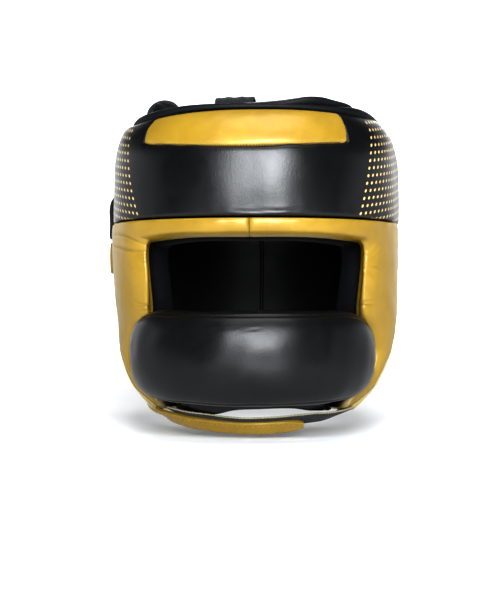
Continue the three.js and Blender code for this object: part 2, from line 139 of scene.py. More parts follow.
def ring_turns(count: int) -> Array:
    """Even turns round a ring in radians, the first half a step on."""
    return 2.0 * np.pi * (np.arange(count) + 0.5) / count


class SmoothTable:
    """A table of rows as smooth functions of its first column."""

    def __init__(self, columns: Sequence[str], rows: Sequence[Sequence[float]]) -> None:
        """Keeps the rows as arrays, one for each named column.

        Args:
            columns: The columns' names.
            rows: The numbers, with a rising first column.
        """
        table = np.array(rows, float)
        self.keys = table[:, 0]
        self.columns = {name: table[:, k] for k, name in enumerate(columns)}

    def at(self, key: Array, column: str) -> Array:
        """A cubic through the rows, whose slope at each row is the mean of the slopes on both sides.

        Args:
            key: Where to read, held between the first and the last row.
            column: The column to read.

        Returns:
            The values there.
        """
        values = self.columns[column]
        slopes = np.diff(values) / np.diff(self.keys)
        tangents = np.concatenate([slopes[:1], (slopes[1:] + slopes[:-1]) / 2, slopes[-1:]])
        key = np.clip(key, self.keys[0], self.keys[-1])
        i = np.clip(np.searchsorted(self.keys, key, side="right") - 1, 0, len(self.keys) - 2)
        span = self.keys[i + 1] - self.keys[i]
        p = (key - self.keys[i]) / span
        start = (2 * p**3 - 3 * p**2 + 1) * values[i] + (p**3 - 2 * p**2 + p) * span * tangents[i]
        end = (3 * p**2 - 2 * p**3) * values[i + 1] + (p**3 - p**2) * span * tangents[i + 1]
        return start + end

    def shared(self, share: Array, column: str) -> Array:
        """The column at a share of the way from the first row to the last."""
        return self.at(lerp(self.keys[0], self.keys[-1], share), column)


class PaddingSpace:
    """The space between the head hollow and the padding's outer form."""

    SQUARENESS = 2.35
    SECTIONS = SmoothTable(
        ("girth", "in_z", "in_half", "in_front", "in_back", "out_z", "out_half", "out_front", "out_back"),
        (
            (14, -2, 15, 18, 20, 2.5, 17, 20, 22),
            (32, -7, 33, 39, 41, -1, 37, 44, 46),
            (50, -16, 47, 57, 58, -5, 60, 70, 70),
            (64, -27, 58, 71, 70, -8, 80, 90, 87),
            (76, -37, 65, 80, 79, -14.5, 94, 105, 99),
            (100, -58, 73.5, 91, 90, -42, 106, 122, 113),
            (131, -89, 77, 96, 95, -89, 107.5, 125, 119),
            (160, -118, 76, 96, 93, -118, 107.5, 125, 117),
            (200, -158, 71, 92, 82, -159, 104.5, 122, 106),
            (225, -183, 66, 88, 73, -184, 103, 118, 97),
            (245, -203, 60, 83, 64, -205, 97, 111, 88),
            (270, -226, 53, 74, 54, -226, 85, 100, 78),
        ),
    )

    @classmethod
    def blend(cls, girth: Numbers, layer: Numbers, size: str) -> Array:
        """A section's size at a girth, between the hollow's and the outer form's."""
        return lerp(cls.SECTIONS.at(girth, "in_" + size), cls.SECTIONS.at(girth, "out_" + size), layer)

    @classmethod
    def point(cls, angle: Numbers, girth: Numbers, layer: Numbers) -> Array:
        """Points on rounded horizontal sections: superellipses with their own depth before and behind.

        Args:
            angle: Degrees round the head.
            girth: Millimetres down from the vertex.
            layer: 0 on the head, 1 on the outer form.

        Returns:
            The points, with x, y and z in the last axis.
        """
        angle, girth, layer = np.broadcast_arrays(angle, girth, layer)
        turn = np.radians(angle)
        across = signed_power(np.sin(turn), 2 / cls.SQUARENESS)
        ahead = signed_power(np.cos(turn), 2 / cls.SQUARENESS)
        depth = np.where(ahead > 0, cls.blend(girth, layer, "front"), cls.blend(girth, layer, "back"))
        half = cls.blend(girth, layer, "half")
        return np.stack([half * across, -depth * ahead, cls.blend(girth, layer, "z")], axis=-1)

    @classmethod
    def frame(cls, angle: Numbers, girth: Numbers, layer: Numbers) -> tuple[Array, Array, Array]:
        """Unit vectors on a layer, from small steps both ways.

        Args:
            angle: In degrees.
            girth: In millimetres.
            layer: From 0 to 1.

        Returns:
            The directions round the head, down the girth and outwards.
        """
        step = 0.5
        around = unit(cls.point(angle + step, girth, layer) - cls.point(angle - step, girth, layer))
        down = unit(cls.point(angle, girth + step, layer) - cls.point(angle, girth - step, layer))
        out = unit(np.cross(down, around))
        return around, np.cross(around, out), out


@dataclass
class Skin:
    """A mesh being made: points in millimetres, four-cornered faces, a UV for each corner, and values."""

    points: Array
    quads: Array
    corner_uv: Array
    values: dict[str, Array] = field(default_factory=dict)

    @classmethod
    def of_grid(
        cls,
        points: Array,
        uv: Array,
        closed: tuple[bool, bool] = (False, False),
        capped: bool = False,
        values: dict[str, Array] | None = None,
    ) -> Skin:
        """The surface through a grid of points.

        Args:
            points: Rows and columns of points.
            uv: The same grid's UV, with one more row or column where the grid is closed.
            closed: Whether the last row joins the first, and the last column the first.
            capped: Whether the first and the last row are closed rings that strips fill.
            values: Numbers for each point, by name.

        Returns:
            The skin, with its faces pointing outwards.
        """
        rows, columns = points.shape[:2]
        i, j = np.meshgrid(
            np.arange(rows - (not closed[0])), np.arange(columns - (not closed[1])), indexing="ij"
        )
        corner_i = np.stack([i, i + 1, i + 1, i], axis=-1).reshape(-1, 4)
        corner_j = np.stack([j, j, j + 1, j + 1], axis=-1).reshape(-1, 4)
        quads = (corner_i % rows) * columns + corner_j % columns
        corner_uv = uv[corner_i, corner_j]
        if capped:
            k = np.arange(columns // 2 - 1)
            strip = np.stack([k, k + 1, columns - 2 - k, columns - 1 - k], axis=-1)
            far = (rows - 1) * columns + strip[:, ::-1]
            quads = np.concatenate([quads, strip, far])
            corner_uv = np.concatenate([corner_uv, uv[0, strip], uv[-1, strip[:, ::-1]]])
        flat = {name: value.reshape(-1) for name, value in (values or {}).items()}
        return cls(points.reshape(-1, 3), quads, corner_uv, flat).facing_out()

    def facing_out(self) -> Skin:
        """The skin, turned round if it encloses a negative volume.

        Returns:
            The same skin.
        """
        a, b, c, d = (self.points[self.quads[:, k]] for k in range(4))
        if np.sum(a * (np.cross(b, c) + np.cross(c, d))) < 0:
            self.quads = self.quads[:, ::-1]
            self.corner_uv = self.corner_uv[:, ::-1]
        return self

    @staticmethod
    def joined(skins: Sequence[Skin]) -> Skin:
        """Several skins with the same values as one."""
        starts = np.cumsum([0] + [len(s.points) for s in skins[:-1]])
        return Skin(
            np.concatenate([s.points for s in skins]),
            np.concatenate([s.quads + start for s, start in zip(skins, starts)]),
            np.concatenate([s.corner_uv for s in skins]),
            {name: np.concatenate([s.values[name] for s in skins]) for name in skins[0].values},
        )

    def to_object(self, name: str) -> bpy.types.Object:
        """An object at the scene's origin with this mesh, in metres and smooth shaded.

        Args:
            name: The object's name.

        Returns:
            The object, linked to the scene.
        """
        mesh = bpy.data.meshes.new(name)
        count = len(self.quads)
        mesh.vertices.add(len(self.points))
        mesh.vertices.foreach_set("co", (self.points * MM).astype(np.float32).ravel())
        mesh.loops.add(4 * count)
        mesh.loops.foreach_set("vertex_index", self.quads.astype(np.int32).ravel())
        mesh.polygons.add(count)
        mesh.polygons.foreach_set("loop_start", np.arange(0, 4 * count, 4, dtype=np.int32))
        mesh.update(calc_edges=True)
        layer = mesh.uv_layers.new(name="surface")
        layer.uv.foreach_set("vector", self.corner_uv.astype(np.float32).ravel())
        for title, value in self.values.items():
            attribute = mesh.attributes.new(title, "FLOAT", "POINT")
            attribute.data.foreach_set("value", value.astype(np.float32))
        mesh.polygons.foreach_set("use_smooth", np.ones(count, bool))
        mesh.validate()
        made = bpy.data.objects.new(name, mesh)
        bpy.context.scene.collection.objects.link(made)
        return made


@dataclass(frozen=True)
class Wire:
    """A number socket of a material, whose operators add Math nodes."""

    graph: Graph
    socket: bpy.types.NodeSocket

    def __add__(self, other: Wire | float) -> Wire:
        """The sum."""
        return self.graph.math("ADD", self, other)

    def __sub__(self, other: Wire | float) -> Wire:
        """The difference."""
        return self.graph.math("SUBTRACT", self, other)

    def __rsub__(self, other: float) -> Wire:
        """A number less this."""
        return self.graph.math("SUBTRACT", other, self)

    def __mul__(self, other: Wire | float) -> Wire:
        """The product."""
        return self.graph.math("MULTIPLY", self, other)

    def __pow__(self, power: float) -> Wire:
        """The power."""
        return self.graph.math("POWER", self, power)

    __radd__ = __add__
    __rmul__ = __mul__

    def fraction(self) -> Wire:
        """What is left after the whole number below."""
        return self.graph.math("FRACT", self)

    def sine(self) -> Wire:
        """The sine of an angle in radians."""
        return self.graph.math("SINE", self)

    def smooth(self, low: float, high: float) -> Wire:
        """0 at low, 1 at high, smooth and held between them."""
        made = self.graph.node(
            "ShaderNodeMapRange",
            {"interpolation_type": "SMOOTHSTEP"},
            {"Value": self, "From Min": low, "From Max": high},
        )
        return Wire(self.graph, made.outputs["Result"])


class Graph:
    """The nodes of one material round its Principled shader."""

    def __init__(self, name: str) -> None:
        """Makes the material with its shader and output.

        Args:
            name: The material's name.
        """
        self.material = bpy.data.materials.new(name)
        self.material.use_nodes = True
        self.tree = self.material.node_tree
        self.tree.nodes.clear()
        self.shader = self.node("ShaderNodeBsdfPrincipled")
        output = self.node("ShaderNodeOutputMaterial")
        self.tree.links.new(self.shader.outputs["BSDF"], output.inputs["Surface"])
        self.place = self.node("ShaderNodeTexCoord").outputs["Object"]

    def node(
        self, kind: str, settings: dict[str, Any] | None = None, sockets: dict[Any, Any] | None = None
    ) -> bpy.types.Node:
        """Adds a node.

        Args:
            kind: The node's type.
            settings: Its own settings, set first.
            sockets: Values or links of its inputs, by name or number.

        Returns:
            The node.
        """
        made = self.tree.nodes.new(kind)
        for name, value in (settings or {}).items():
            setattr(made, name, value)
        for key, value in (sockets or {}).items():
            self.feed(made.inputs[key], value)
        return made

    def feed(self, socket: bpy.types.NodeSocket, value: Any) -> None:
        """Links a wire or a socket to an input, or sets its value."""
        source = value.socket if isinstance(value, Wire) else value
        if isinstance(source, bpy.types.NodeSocket):
            self.tree.links.new(source, socket)
        elif socket.type == "RGBA":
            socket.default_value = (*source, 1.0)
        else:
            socket.default_value = source

    def dress(self, **inputs: Any) -> None:
        """Feeds the shader's inputs, named with _ for a space."""
        for name, value in inputs.items():
            self.feed(self.shader.inputs[name.replace("_", " ")], value)

    def math(self, operation: str, *operands: Wire | float) -> Wire:
        """A Math node on wires and numbers."""
        made = self.node("ShaderNodeMath", {"operation": operation}, dict(enumerate(operands)))
        return Wire(self, made.outputs[0])

    def noise(self, scale: float, detail: float = 2.0, distortion: float = 0.0) -> Wire:
        """Noise of so many swells a metre, about 0.5 on average."""
        made = self.node(
            "ShaderNodeTexNoise",
            sockets={"Vector": self.place, "Scale": scale, "Detail": detail, "Distortion": distortion},
        )
        return Wire(self, made.outputs[0])

    def cells(self, scale: float) -> Wire:
        """The distance from the middle of the nearest cell, with so many cells a metre."""
        made = self.node("ShaderNodeTexVoronoi", sockets={"Vector": self.place, "Scale": scale})
        return Wire(self, made.outputs["Distance"])

    def attribute(self, name: str) -> Wire:
        """A value that the mesh holds for each point."""
        return Wire(self, self.node("ShaderNodeAttribute", {"attribute_name": name}).outputs["Fac"])

    def surface(self) -> tuple[Wire, Wire]:
        """The piece's own UV map: along and across.

        Returns:
            The two numbers.
        """
        uv = self.node("ShaderNodeUVMap", {"uv_map": "surface"}).outputs["UV"]
        parts = self.node("ShaderNodeSeparateXYZ", sockets={"Vector": uv})
        return Wire(self, parts.outputs["X"]), Wire(self, parts.outputs["Y"])

    def mix(self, share: Wire, low: Any, high: Any) -> bpy.types.NodeSocket:
        """The colour at a share of the way from low to high."""
        made = self.node("ShaderNodeMix", {"data_type": "RGBA"}, {0: share, 6: low, 7: high})
        return made.outputs[2]

    def bump(self, height: Wire, distance: float) -> None:
        """Raises the shader's normal by a height map, at full strength."""
        made = self.node(
            "ShaderNodeBump", sockets={"Height": height, "Distance": distance, "Strength": 1.0}
        )
        self.dress(Normal=made.outputs["Normal"])


class Slot(Enum):
    """Material slot names that the finishes carry."""

    GOLD = "gold_leather"
    BLACK = "black_leather"
    LINING = "black_lining"
    WEBBING = "black_webbing"


@dataclass(frozen=True)
class Finish:
    """A named finish that paints its material once."""

    name: str
    slot: Slot | None

    def material(self) -> bpy.types.Material:
        """The finish's material, made at its first use.

        Returns:
            The material.
        """
        found = bpy.data.materials.get(self.name)
        if found is None:
            graph = Graph(self.name)
            self.paint(graph)
            found = graph.material
        return found

    def paint(self, graph: Graph) -> None:
        """Adds the finish's nodes."""
        raise NotImplementedError


@dataclass(frozen=True)
class Leather(Finish):
    """Grained leather: mottled colour, rubbed edges, painted shade in its creases and grooves, and a satin
    gloss.

    The mesh holds edge (millimetres to its nearest sewn edge), crease and rim (0 to 1).
    """

    deep: Colour
    bright: Colour
    worn: Colour
    groove_shade_and_dark_wall: Colour
    piped: Colour
    roughness: float
    metallic: float
    specular: float
    wear: float
    grain: float
    dots: Colour | None = None

    def paint(self, graph: Graph) -> None:
        """Colour from two sizes of mottling, then wear, painted shade in the creases, print and piping laid
        over it.

        Args:
            graph: The material's nodes.
        """
        broad = graph.noise(24.0, detail=3.0)
        patches = graph.noise(150.0, detail=4.0, distortion=0.4)
        edge = graph.attribute("edge")
        crease = graph.attribute("crease")
        speckle = graph.noise(520.0, detail=3.0).smooth(0.35, 0.7)
        rubbed = (1.0 - edge.smooth(0.3, 3.4)) * speckle * self.wear
        colour = graph.mix((broad * 0.7 + patches * 0.3).smooth(0.32, 0.70), self.deep, self.bright)
        colour = graph.mix(rubbed, colour, self.worn)
        # The crease value paints shade into grooves and fold valleys, and darkens the face pads' jaw wall
        # as the lining over it.
        colour = graph.mix(crease, colour, self.groove_shade_and_dark_wall)
        if self.dots is not None:
            colour = graph.mix(self.print_mask(graph), colour, self.dots)
        colour = graph.mix(graph.attribute("rim"), colour, self.piped)
        pores = graph.cells(820.0) * 0.5 + graph.noise(1900.0, detail=3.0) * 0.35
        wrinkles = graph.noise(260.0, detail=5.0, distortion=0.7) * 0.9
        graph.bump(pores + wrinkles, self.grain)
        graph.dress(
            Base_Color=colour,
            Roughness=(patches - 0.5) * 0.1 + crease * 0.12 + rubbed * 0.1 + self.roughness,
            Metallic=self.metallic,
            Specular_IOR_Level=self.specular,
        )

    def print_mask(self, graph: Graph) -> Wire:
        """Round dots on a square lattice of one UV unit, from the column at u = 0 backwards.

        Args:
            graph: The material's nodes.

        Returns:
            The share of ink.
        """
        u, v = graph.surface()
        away = (u.fraction() - 0.5) ** 2 + (v.fraction() - 0.5) ** 2
        inked = graph.noise(900.0).smooth(0.2, 0.5) * 0.35 + 0.65
        return (1.0 - away.smooth(0.032, 0.058)) * u.smooth(0.0, 0.02) * inked


@dataclass(frozen=True)
class Lining(Finish):
    """Soft brushed lining cloth."""

    low: Colour
    high: Colour

    def paint(self, graph: Graph) -> None:
        """Dark nap with a fine felted bump and a little sheen.

        Args:
            graph: The material's nodes.
        """
        nap = graph.noise(900.0, detail=4.0)
        graph.bump(nap * 0.6 + graph.noise(260.0, detail=3.0) * 0.8, distance=0.0005)
        graph.dress(
            Base_Color=graph.mix(graph.noise(60.0, detail=3.0) * 0.5 + nap * 0.5, self.low, self.high),
            Roughness=graph.noise(120.0) * 0.2 + 0.66,
            Specular_IOR_Level=0.1,
            Sheen_Weight=0.01,
        )


@dataclass(frozen=True)
class Woven(Finish):
    """Woven tape: ribs along and across, on a UV in millimetres. rim marks the pale edge yarn, which the
    chin webbing shows only on its edges' upper side as a painted highlight.
    """

    low: Colour
    high: Colour
    edge_yarn_and_highlight: Colour
    pitch: float

    def paint(self, graph: Graph) -> None:
        """Two crossed waves give the yarns; their hollows are painted darker, as shade.

        Args:
            graph: The material's nodes.
        """
        u, v = graph.surface()
        turn = 2.0 * np.pi / self.pitch
        along = ((u + v * 0.5) * turn).sine()
        across = ((v - u * 0.25) * turn * 0.9).sine()
        yarn = along * across * 0.5 + 0.5
        fuzz = graph.noise(1500.0, detail=3.0)
        # Hollows between the yarns get the low colour, a painted shade.
        colour = graph.mix(yarn * 0.7 + fuzz * 0.3, self.low, self.high)
        # The pale edge colour is a real edge yarn and, where the mesh lays it only on the upper side, a
        # painted highlight.
        colour = graph.mix(graph.attribute("rim") * (yarn * 0.4 + 0.6), colour, self.edge_yarn_and_highlight)
        graph.bump(yarn + fuzz * 0.3, distance=0.00045)
        graph.dress(
            Base_Color=colour,
            Roughness=0.9 - yarn * 0.2,
            Specular_IOR_Level=0.3,
            Sheen_Weight=0.1,
        )


@dataclass(frozen=True)
class Floor(Finish):
    """The pale studio floor and its walls, which glow: the one behind brightly, the others dimly."""

    tone: Colour
    shade: Colour
    floor_glow: Colour
    wall_glow: Colour
    side_glow: Colour
    wall_from: Pair = (0.9, 2.4)
    side_from: Pair = (1.3, 2.8)

    def paint(self, graph: Graph) -> None:
        """A nearly even pale tone with broad faint clouds, and a glow that grows towards the walls.

        Args:
            graph: The material's nodes.
        """
        graph.dress(Base_Color=graph.mix(graph.noise(1.4), self.shade, self.tone), Roughness=0.85)
        parts = graph.node("ShaderNodeSeparateXYZ", sockets={"Vector": graph.place})
        behind = Wire(graph, parts.outputs["Y"]).smooth(*self.wall_from)
        beside = (Wire(graph, parts.outputs["X"]) ** 2).smooth(*self.side_from)
        glow = graph.mix(behind, graph.mix(beside, self.floor_glow, self.side_glow), self.wall_glow)
        graph.dress(Specular_IOR_Level=0.1, Emission_Color=glow, Emission_Strength=1.0)


GOLD = Leather(
    "gold_leather_satin", Slot.GOLD,
    deep=(0.275, 0.173, 0.0185), bright=(0.335, 0.217, 0.0250), worn=(0.45, 0.33, 0.075),
    groove_shade_and_dark_wall=(0.008, 0.006, 0.004), piped=(0.60, 0.53, 0.30),
    roughness=0.34, metallic=0.1, specular=0.5, wear=0.2, grain=0.00006,
)
BLACK = Leather(
    "black_leather_satin", Slot.BLACK,
    deep=(0.0030, 0.0030, 0.0034), bright=(0.0052, 0.0053, 0.0060), worn=(0.022, 0.022, 0.024),
    groove_shade_and_dark_wall=(0.0012, 0.0012, 0.0014), piped=(0.03, 0.03, 0.033),
    roughness=0.34, metallic=0.0, specular=0.36, wear=0.25, grain=0.00005,
)
CROWN_BLACK = replace(
    BLACK, name="black_leather_dull",
    worn=(0.012, 0.012, 0.013), roughness=0.58, specular=0.22, wear=0.3, grain=0.00018,
)
PRINTED = replace(
    BLACK, name="black_leather_printed", roughness=0.31, specular=0.43, dots=(0.60, 0.45, 0.20)
)
LINING = Lining(
    "black_lining_brushed", Slot.LINING, low=(0.0010, 0.0011, 0.0020), high=(0.0028, 0.0030, 0.0046)
)
WEBBING = Woven(
    "black_webbing_woven", Slot.WEBBING,
    low=(0.004, 0.004, 0.005), high=(0.022, 0.022, 0.025), edge_yarn_and_highlight=(0.62, 0.56, 0.36), pitch=1.7,
)
LACE = replace(
    WEBBING, name="black_lace_braided",
    high=(0.028, 0.028, 0.031), edge_yarn_and_highlight=(0.03, 0.03, 0.03), pitch=2.2,
)
BLACK_THREAD = Woven(
    "black_sewing_thread", Slot.WEBBING,
    low=(0.006, 0.006, 0.007), high=(0.035, 0.035, 0.038), edge_yarn_and_highlight=(0.03, 0.03, 0.03), pitch=0.8,
)
GOLD_THREAD = Woven(
    "gold_sewing_thread", Slot.GOLD,
    low=(0.30, 0.18, 0.03), high=(0.66, 0.45, 0.12), edge_yarn_and_highlight=(0.6, 0.45, 0.15), pitch=0.8,
)
FLOOR = Floor(
    "studio_floor_pale", None,
    tone=(0.86, 0.86, 0.86), shade=(0.83, 0.83, 0.835),
    floor_glow=(0.0, 0.0, 0.0), wall_glow=(0.95, 0.95, 0.95), side_glow=(0.2, 0.2, 0.2),
)


def place(
    skin: Skin, name: str, finish: Finish, replaces: Sequence[str] = ()
) -> None:
    """Puts a skin into the scene as a piece of the object.

    Args:
        skin: The piece's mesh.
        name: Its name.
        finish: What it is made of.
        replaces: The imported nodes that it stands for.
    """
    piece = skin.to_object(name)
    piece.data.materials.append(finish.material())
    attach(piece, BODY)
    if replaces:
        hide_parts(*replaces)
    log.info("%s: %d faces, %s", name, len(skin.quads), finish.name)


def leather_values(edge: Array, crease: Array | None = None, rim: Array | None = None) -> dict[str, Array]:
    """The values that a leather finish reads from a mesh, 0 where they are not given."""
    given = {"edge": edge, "crease": crease, "rim": rim}
    return {name: np.zeros(edge.shape) if value is None else value for name, value in given.items()}


@dataclass(frozen=True)
class Unevenness:
    """Soft swells of a stuffed surface, the same on every run."""

    seed: int
    height: float
    shortest: float
    longest: float
    waves: int = 36

    def at(self, points: Array) -> Array:
        """The sum of cosine waves with seeded directions, lengths and phases; long waves stand higher.

        Args:
            points: Points of the surface.

        Returns:
            The height at each point.
        """
        source = np.random.default_rng(self.seed)
        directions = unit(source.normal(size=(self.waves, 3)))
        lengths = np.exp(source.uniform(np.log(self.shortest), np.log(self.longest), self.waves))
        phases = source.uniform(0.0, 2.0 * np.pi, self.waves)
        swell = np.cos(points @ (directions * (2.0 * np.pi / lengths[:, None])).T + phases)
        return self.height * (swell @ (lengths / np.sqrt(np.sum(lengths**2) / 2.0)))


@dataclass(frozen=True)
class Crease:
    """A fold line: a valley of a depth and width along a path, with a raised lip on both sides."""

    path: Array
    depth: float
    width: float
    lip: float = 0.0

    def at(self, points: Array) -> tuple[Array, Array]:
        """The fold on points: bells of the distance from the path, which fade towards its two ends.

        Args:
            points: Points with as many numbers as the path's.

        Returns:
            The height to add, and how deep in the valley each point lies, from 0 to 1.
        """
        share = np.linspace(0.0, 1.0, 48)
        known = np.linspace(0.0, 1.0, len(self.path))
        line = np.stack([np.interp(share, known, column) for column in self.path.T], axis=-1)
        away = np.linalg.norm(points[..., None, :] - line, axis=-1)
        nearest = np.argmin(away, axis=-1)
        distance = np.take_along_axis(away, nearest[..., None], axis=-1)[..., 0]
        fade = np.sin(np.pi * np.clip(share[nearest] * 0.92 + 0.04, 0.0, 1.0)) ** 0.7
        valley = bell(distance, self.width) * fade
        lip = bell(distance - 2.0 * self.width, 1.3 * self.width) * fade
        return self.lip * lip - self.depth * valley, valley


def pad_path(rows: Sequence[Pair]) -> Array:
    """A line on the flattened padding from rows of angle and girth, in millimetres."""
    return np.array(rows, float) * np.array([MM_PER_DEGREE, 1.0])


@dataclass
class Relief:
    """What a surface adds to its plain form: a height in millimetres, crease (painted shade in grooves and
    fold valleys, and the face pads' dark jaw wall) and rim from 0 to 1.
    """

    height: Array
    crease: Array
    rim: Array

    @classmethod
    def flat(cls, like: Array) -> Relief:
        """No relief, on a grid like this one."""
        return cls(np.zeros(like.shape), np.zeros(like.shape), np.zeros(like.shape))

    def fold(self, crease: Crease, points: Array) -> None:
        """Adds a crease and paints shade into its valley; a ridge, whose depth is below 0, leaves no
        painted shade.

        Args:
            crease: The fold line.
            points: Where the relief's values lie.
        """
        height, valley = crease.at(points)
        self.height = self.height + height
        if crease.depth > 0:
            # The valley's colour is darkened as painted shade, more for deeper creases.
            crease_shade = np.clip(crease.depth / 2.0, 0.0, 0.33)
            self.crease = np.maximum(self.crease, valley**2 * crease_shade)


@dataclass(frozen=True)
class Edge:
    """How a pad ends: a quarter-round roll down to a share of its thickness.

    The roll's width is in millimetres, and wide adds a share of the pad's own width to it. A shoulder
    sinks by its share of the thickness towards the edge, as exp(-way / reach), with its reach in widths
    of the roll.
    """

    roll: float
    floor: float
    wide: float = 0.0
    shoulder: float = 0.0
    reach: float = 1.0

    def height(self, distance: Array, width: Array) -> Array:
        """The share of the thickness at a distance from the edge.

        Args:
            distance: Millimetres from the edge.
            width: The pad's own width.

        Returns:
            The share.
        """
        way = distance / (self.roll + self.wide * width)
        rest = 1.0 - np.minimum(way, 1.0)
        rolled = self.floor + (1.0 - self.floor) * np.sqrt(1.0 - rest * rest)
        return rolled * (1.0 - self.shoulder * np.exp(-way / self.reach))

    def lowest(self) -> float:
        """The share of the thickness at the edge itself."""
        return self.floor * (1.0 - self.shoulder)


@dataclass(frozen=True)
class PadPlace:
    """Where each point of a pad's outer face lies. Ways are in millimetres."""

    share: Array
    angle: Array
    girth: Array
    first: Array
    last: Array
    end: Array
    along: Array
    points: Array

    def flat(self) -> Array:
        """The points on the flattened padding."""
        return np.stack([self.angle * MM_PER_DEGREE, self.girth], axis=-1)

    def edge(self) -> Array:
        """The way to the nearest edge."""
        return np.minimum(np.minimum(self.first, self.last), self.end)

    def stuffed(self, swells: Unevenness, crown: float = 0.0, reach: float = 1.0) -> Relief:
        """A stuffed face: swells on a crown that rises from both edges as 1 - exp(-way / reach).

        Args:
            swells: The swells.
            crown: The crown's height.
            reach: How soon it rises.

        Returns:
            The relief.
        """
        relief = Relief.flat(self.angle)
        rise = (1.0 - np.exp(-self.first / reach)) * (1.0 - np.exp(-self.last / reach))
        relief.height = crown * rise + swells.at(self.points)
        return relief

    def puckers(self, way: Array, pitch: float, height: float, reach: float) -> Array:
        """Gathers beside a seam: waves along it, uneven in length, that die away from it."""
        drift = 1.9 * np.sin(self.along / (pitch * 2.7)) + 1.3 * np.sin(self.along / (pitch * 4.3) + 1.0)
        return height * np.cos(2.0 * np.pi * self.along / pitch + drift) * np.exp(-way / reach)


@dataclass(frozen=True)
class Station:
    """Cross sections of a pad: where its first and last edge run, and its lowest and highest layer.

    The wall below the last edge leans by tuck degrees on its way down from the pad's lean_from share.
    """

    from_angle: Array
    from_girth: Array
    to_angle: Array
    to_girth: Array
    low: Numbers
    high: Numbers
    tuck: Numbers = 0.0


@dataclass(frozen=True)
class Pad:
    """A pad in padding space, lofted through its stations."""

    stations: Callable[[Array], Station]
    along: int
    across: int
    first: Edge
    last: Edge
    ends: Edge
    layer_at: Callable[[Array, Array], Array] = lambda angle, girth: np.ones(angle.shape)
    relief: Callable[[PadPlace], Relief] = lambda where: Relief.flat(where.angle)
    uv: Callable[[PadPlace], Array] = lambda where: np.stack([where.along, where.first], axis=-1)
    ease: float = 0.55
    lean_from: float = 0.62

    def skin(self) -> Skin:
        """The closed pad: an outer face with rolled edges and relief, and an inner face on its low layer.

        Returns:
            The skin, with the values that leather reads.
        """
        share = steps(self.along, self.ease)[:, None]
        t = steps(self.across, ACROSS_EASE)[None, :]
        s = self.stations(share)
        angle, girth = lerp(s.from_angle, s.to_angle, t), lerp(s.from_girth, s.to_girth, t)
        angle, girth = np.broadcast_arrays(angle, girth)
        plain = PaddingSpace.point(angle, girth, s.high)
        first, along = run_length(plain, 1), run_length(plain, 0)
        width = first[:, -1:]
        end = np.minimum(along, along[-1:] - along)
        drop = self.last.height(width - first, width)
        full = self.first.height(first, width) * drop * self.ends.height(end, width)
        full = full * self.layer_at(angle, girth)
        lowered = (self.lean_from - drop) / (self.lean_from - self.last.lowest())
        leaning = angle + s.tuck * np.maximum(lowered, 0.0)
        outer = PaddingSpace.point(leaning, girth, lerp(s.low, s.high, full))
        inner = PaddingSpace.point(angle + s.tuck * t, girth, s.low)
        where = PadPlace(
            np.broadcast_to(share, angle.shape), angle, girth, first, width - first, end, along, outer
        )
        relief = self.relief(where)
        normals = grid_normals(outer)
        normals = normals * np.sign(np.sum(normals * (outer - inner)))
        outer = outer + normals * (relief.height * smoothstep(where.edge(), *SEAM_FADE))[..., None]
        uv = self.uv(where)
        blank = np.zeros(angle.shape)
        return Skin.of_grid(
            np.concatenate([outer, inner[:, ::-1]], axis=1),
            np.concatenate([uv, uv[:, ::-1], uv[:, :1]], axis=1),
            closed=(False, True),
            capped=True,
            values=leather_values(
                np.concatenate([where.edge(), blank + FAR_FROM_EDGES], axis=1),
                np.concatenate([relief.crease, blank], axis=1),
                np.concatenate([relief.rim, blank], axis=1),
            ),
        )


def patch(
    start: float, end: float, top: float, bottom: float, low: float, high: float
) -> Callable[[Array], Station]:
    """Stations of a patch between two angles and two girths.

    Args:
        start: First angle.
        end: Last angle.
        top: First girth.
        bottom: Last girth.
        low: Lowest layer.
        high: Highest layer.

    Returns:
        The stations, by the share of the way.
    """

    def stations(share: Array) -> Station:
        """The station at each share of the way from start to end."""
        angle = lerp(start, end, share)
        return Station(angle, np.full(angle.shape, top), angle, np.full(angle.shape, bottom), low, high)

    return stations


def tube(line: Array, out: Array, radius: Numbers, sides: int) -> Skin:
    """A round cord: circles across a line, upright to it and to the outward directions.

    Args:
        line: The cord's centre points.
        out: Directions that are nowhere along the line.
        radius: The cord's radius, or one for each point.
        sides: Corners of each circle.

    Returns:
        The skin, with the way along and round it in millimetres as its UV.
    """
    run = unit(np.gradient(line, axis=0))
    aside = unit(np.cross(run, out))
    up = np.cross(aside, run)
    size = np.broadcast_to(radius, (len(line),))
    turn = ring_turns(sides)
    points = line[:, None] + size[:, None, None] * (
        aside[:, None] * np.cos(turn)[None, :, None] + up[:, None] * np.sin(turn)[None, :, None]
    )
    along = run_length(line[:, None], 0)
    girdle = 2.0 * np.pi * np.max(size) * np.arange(sides + 1) / sides
    uv = uv_grid(along, girdle[None, :])
    values = leather_values(np.full(points.shape[:2], FAR_FROM_EDGES))
    return Skin.of_grid(points, uv, closed=(False, True), capped=True, values=values)


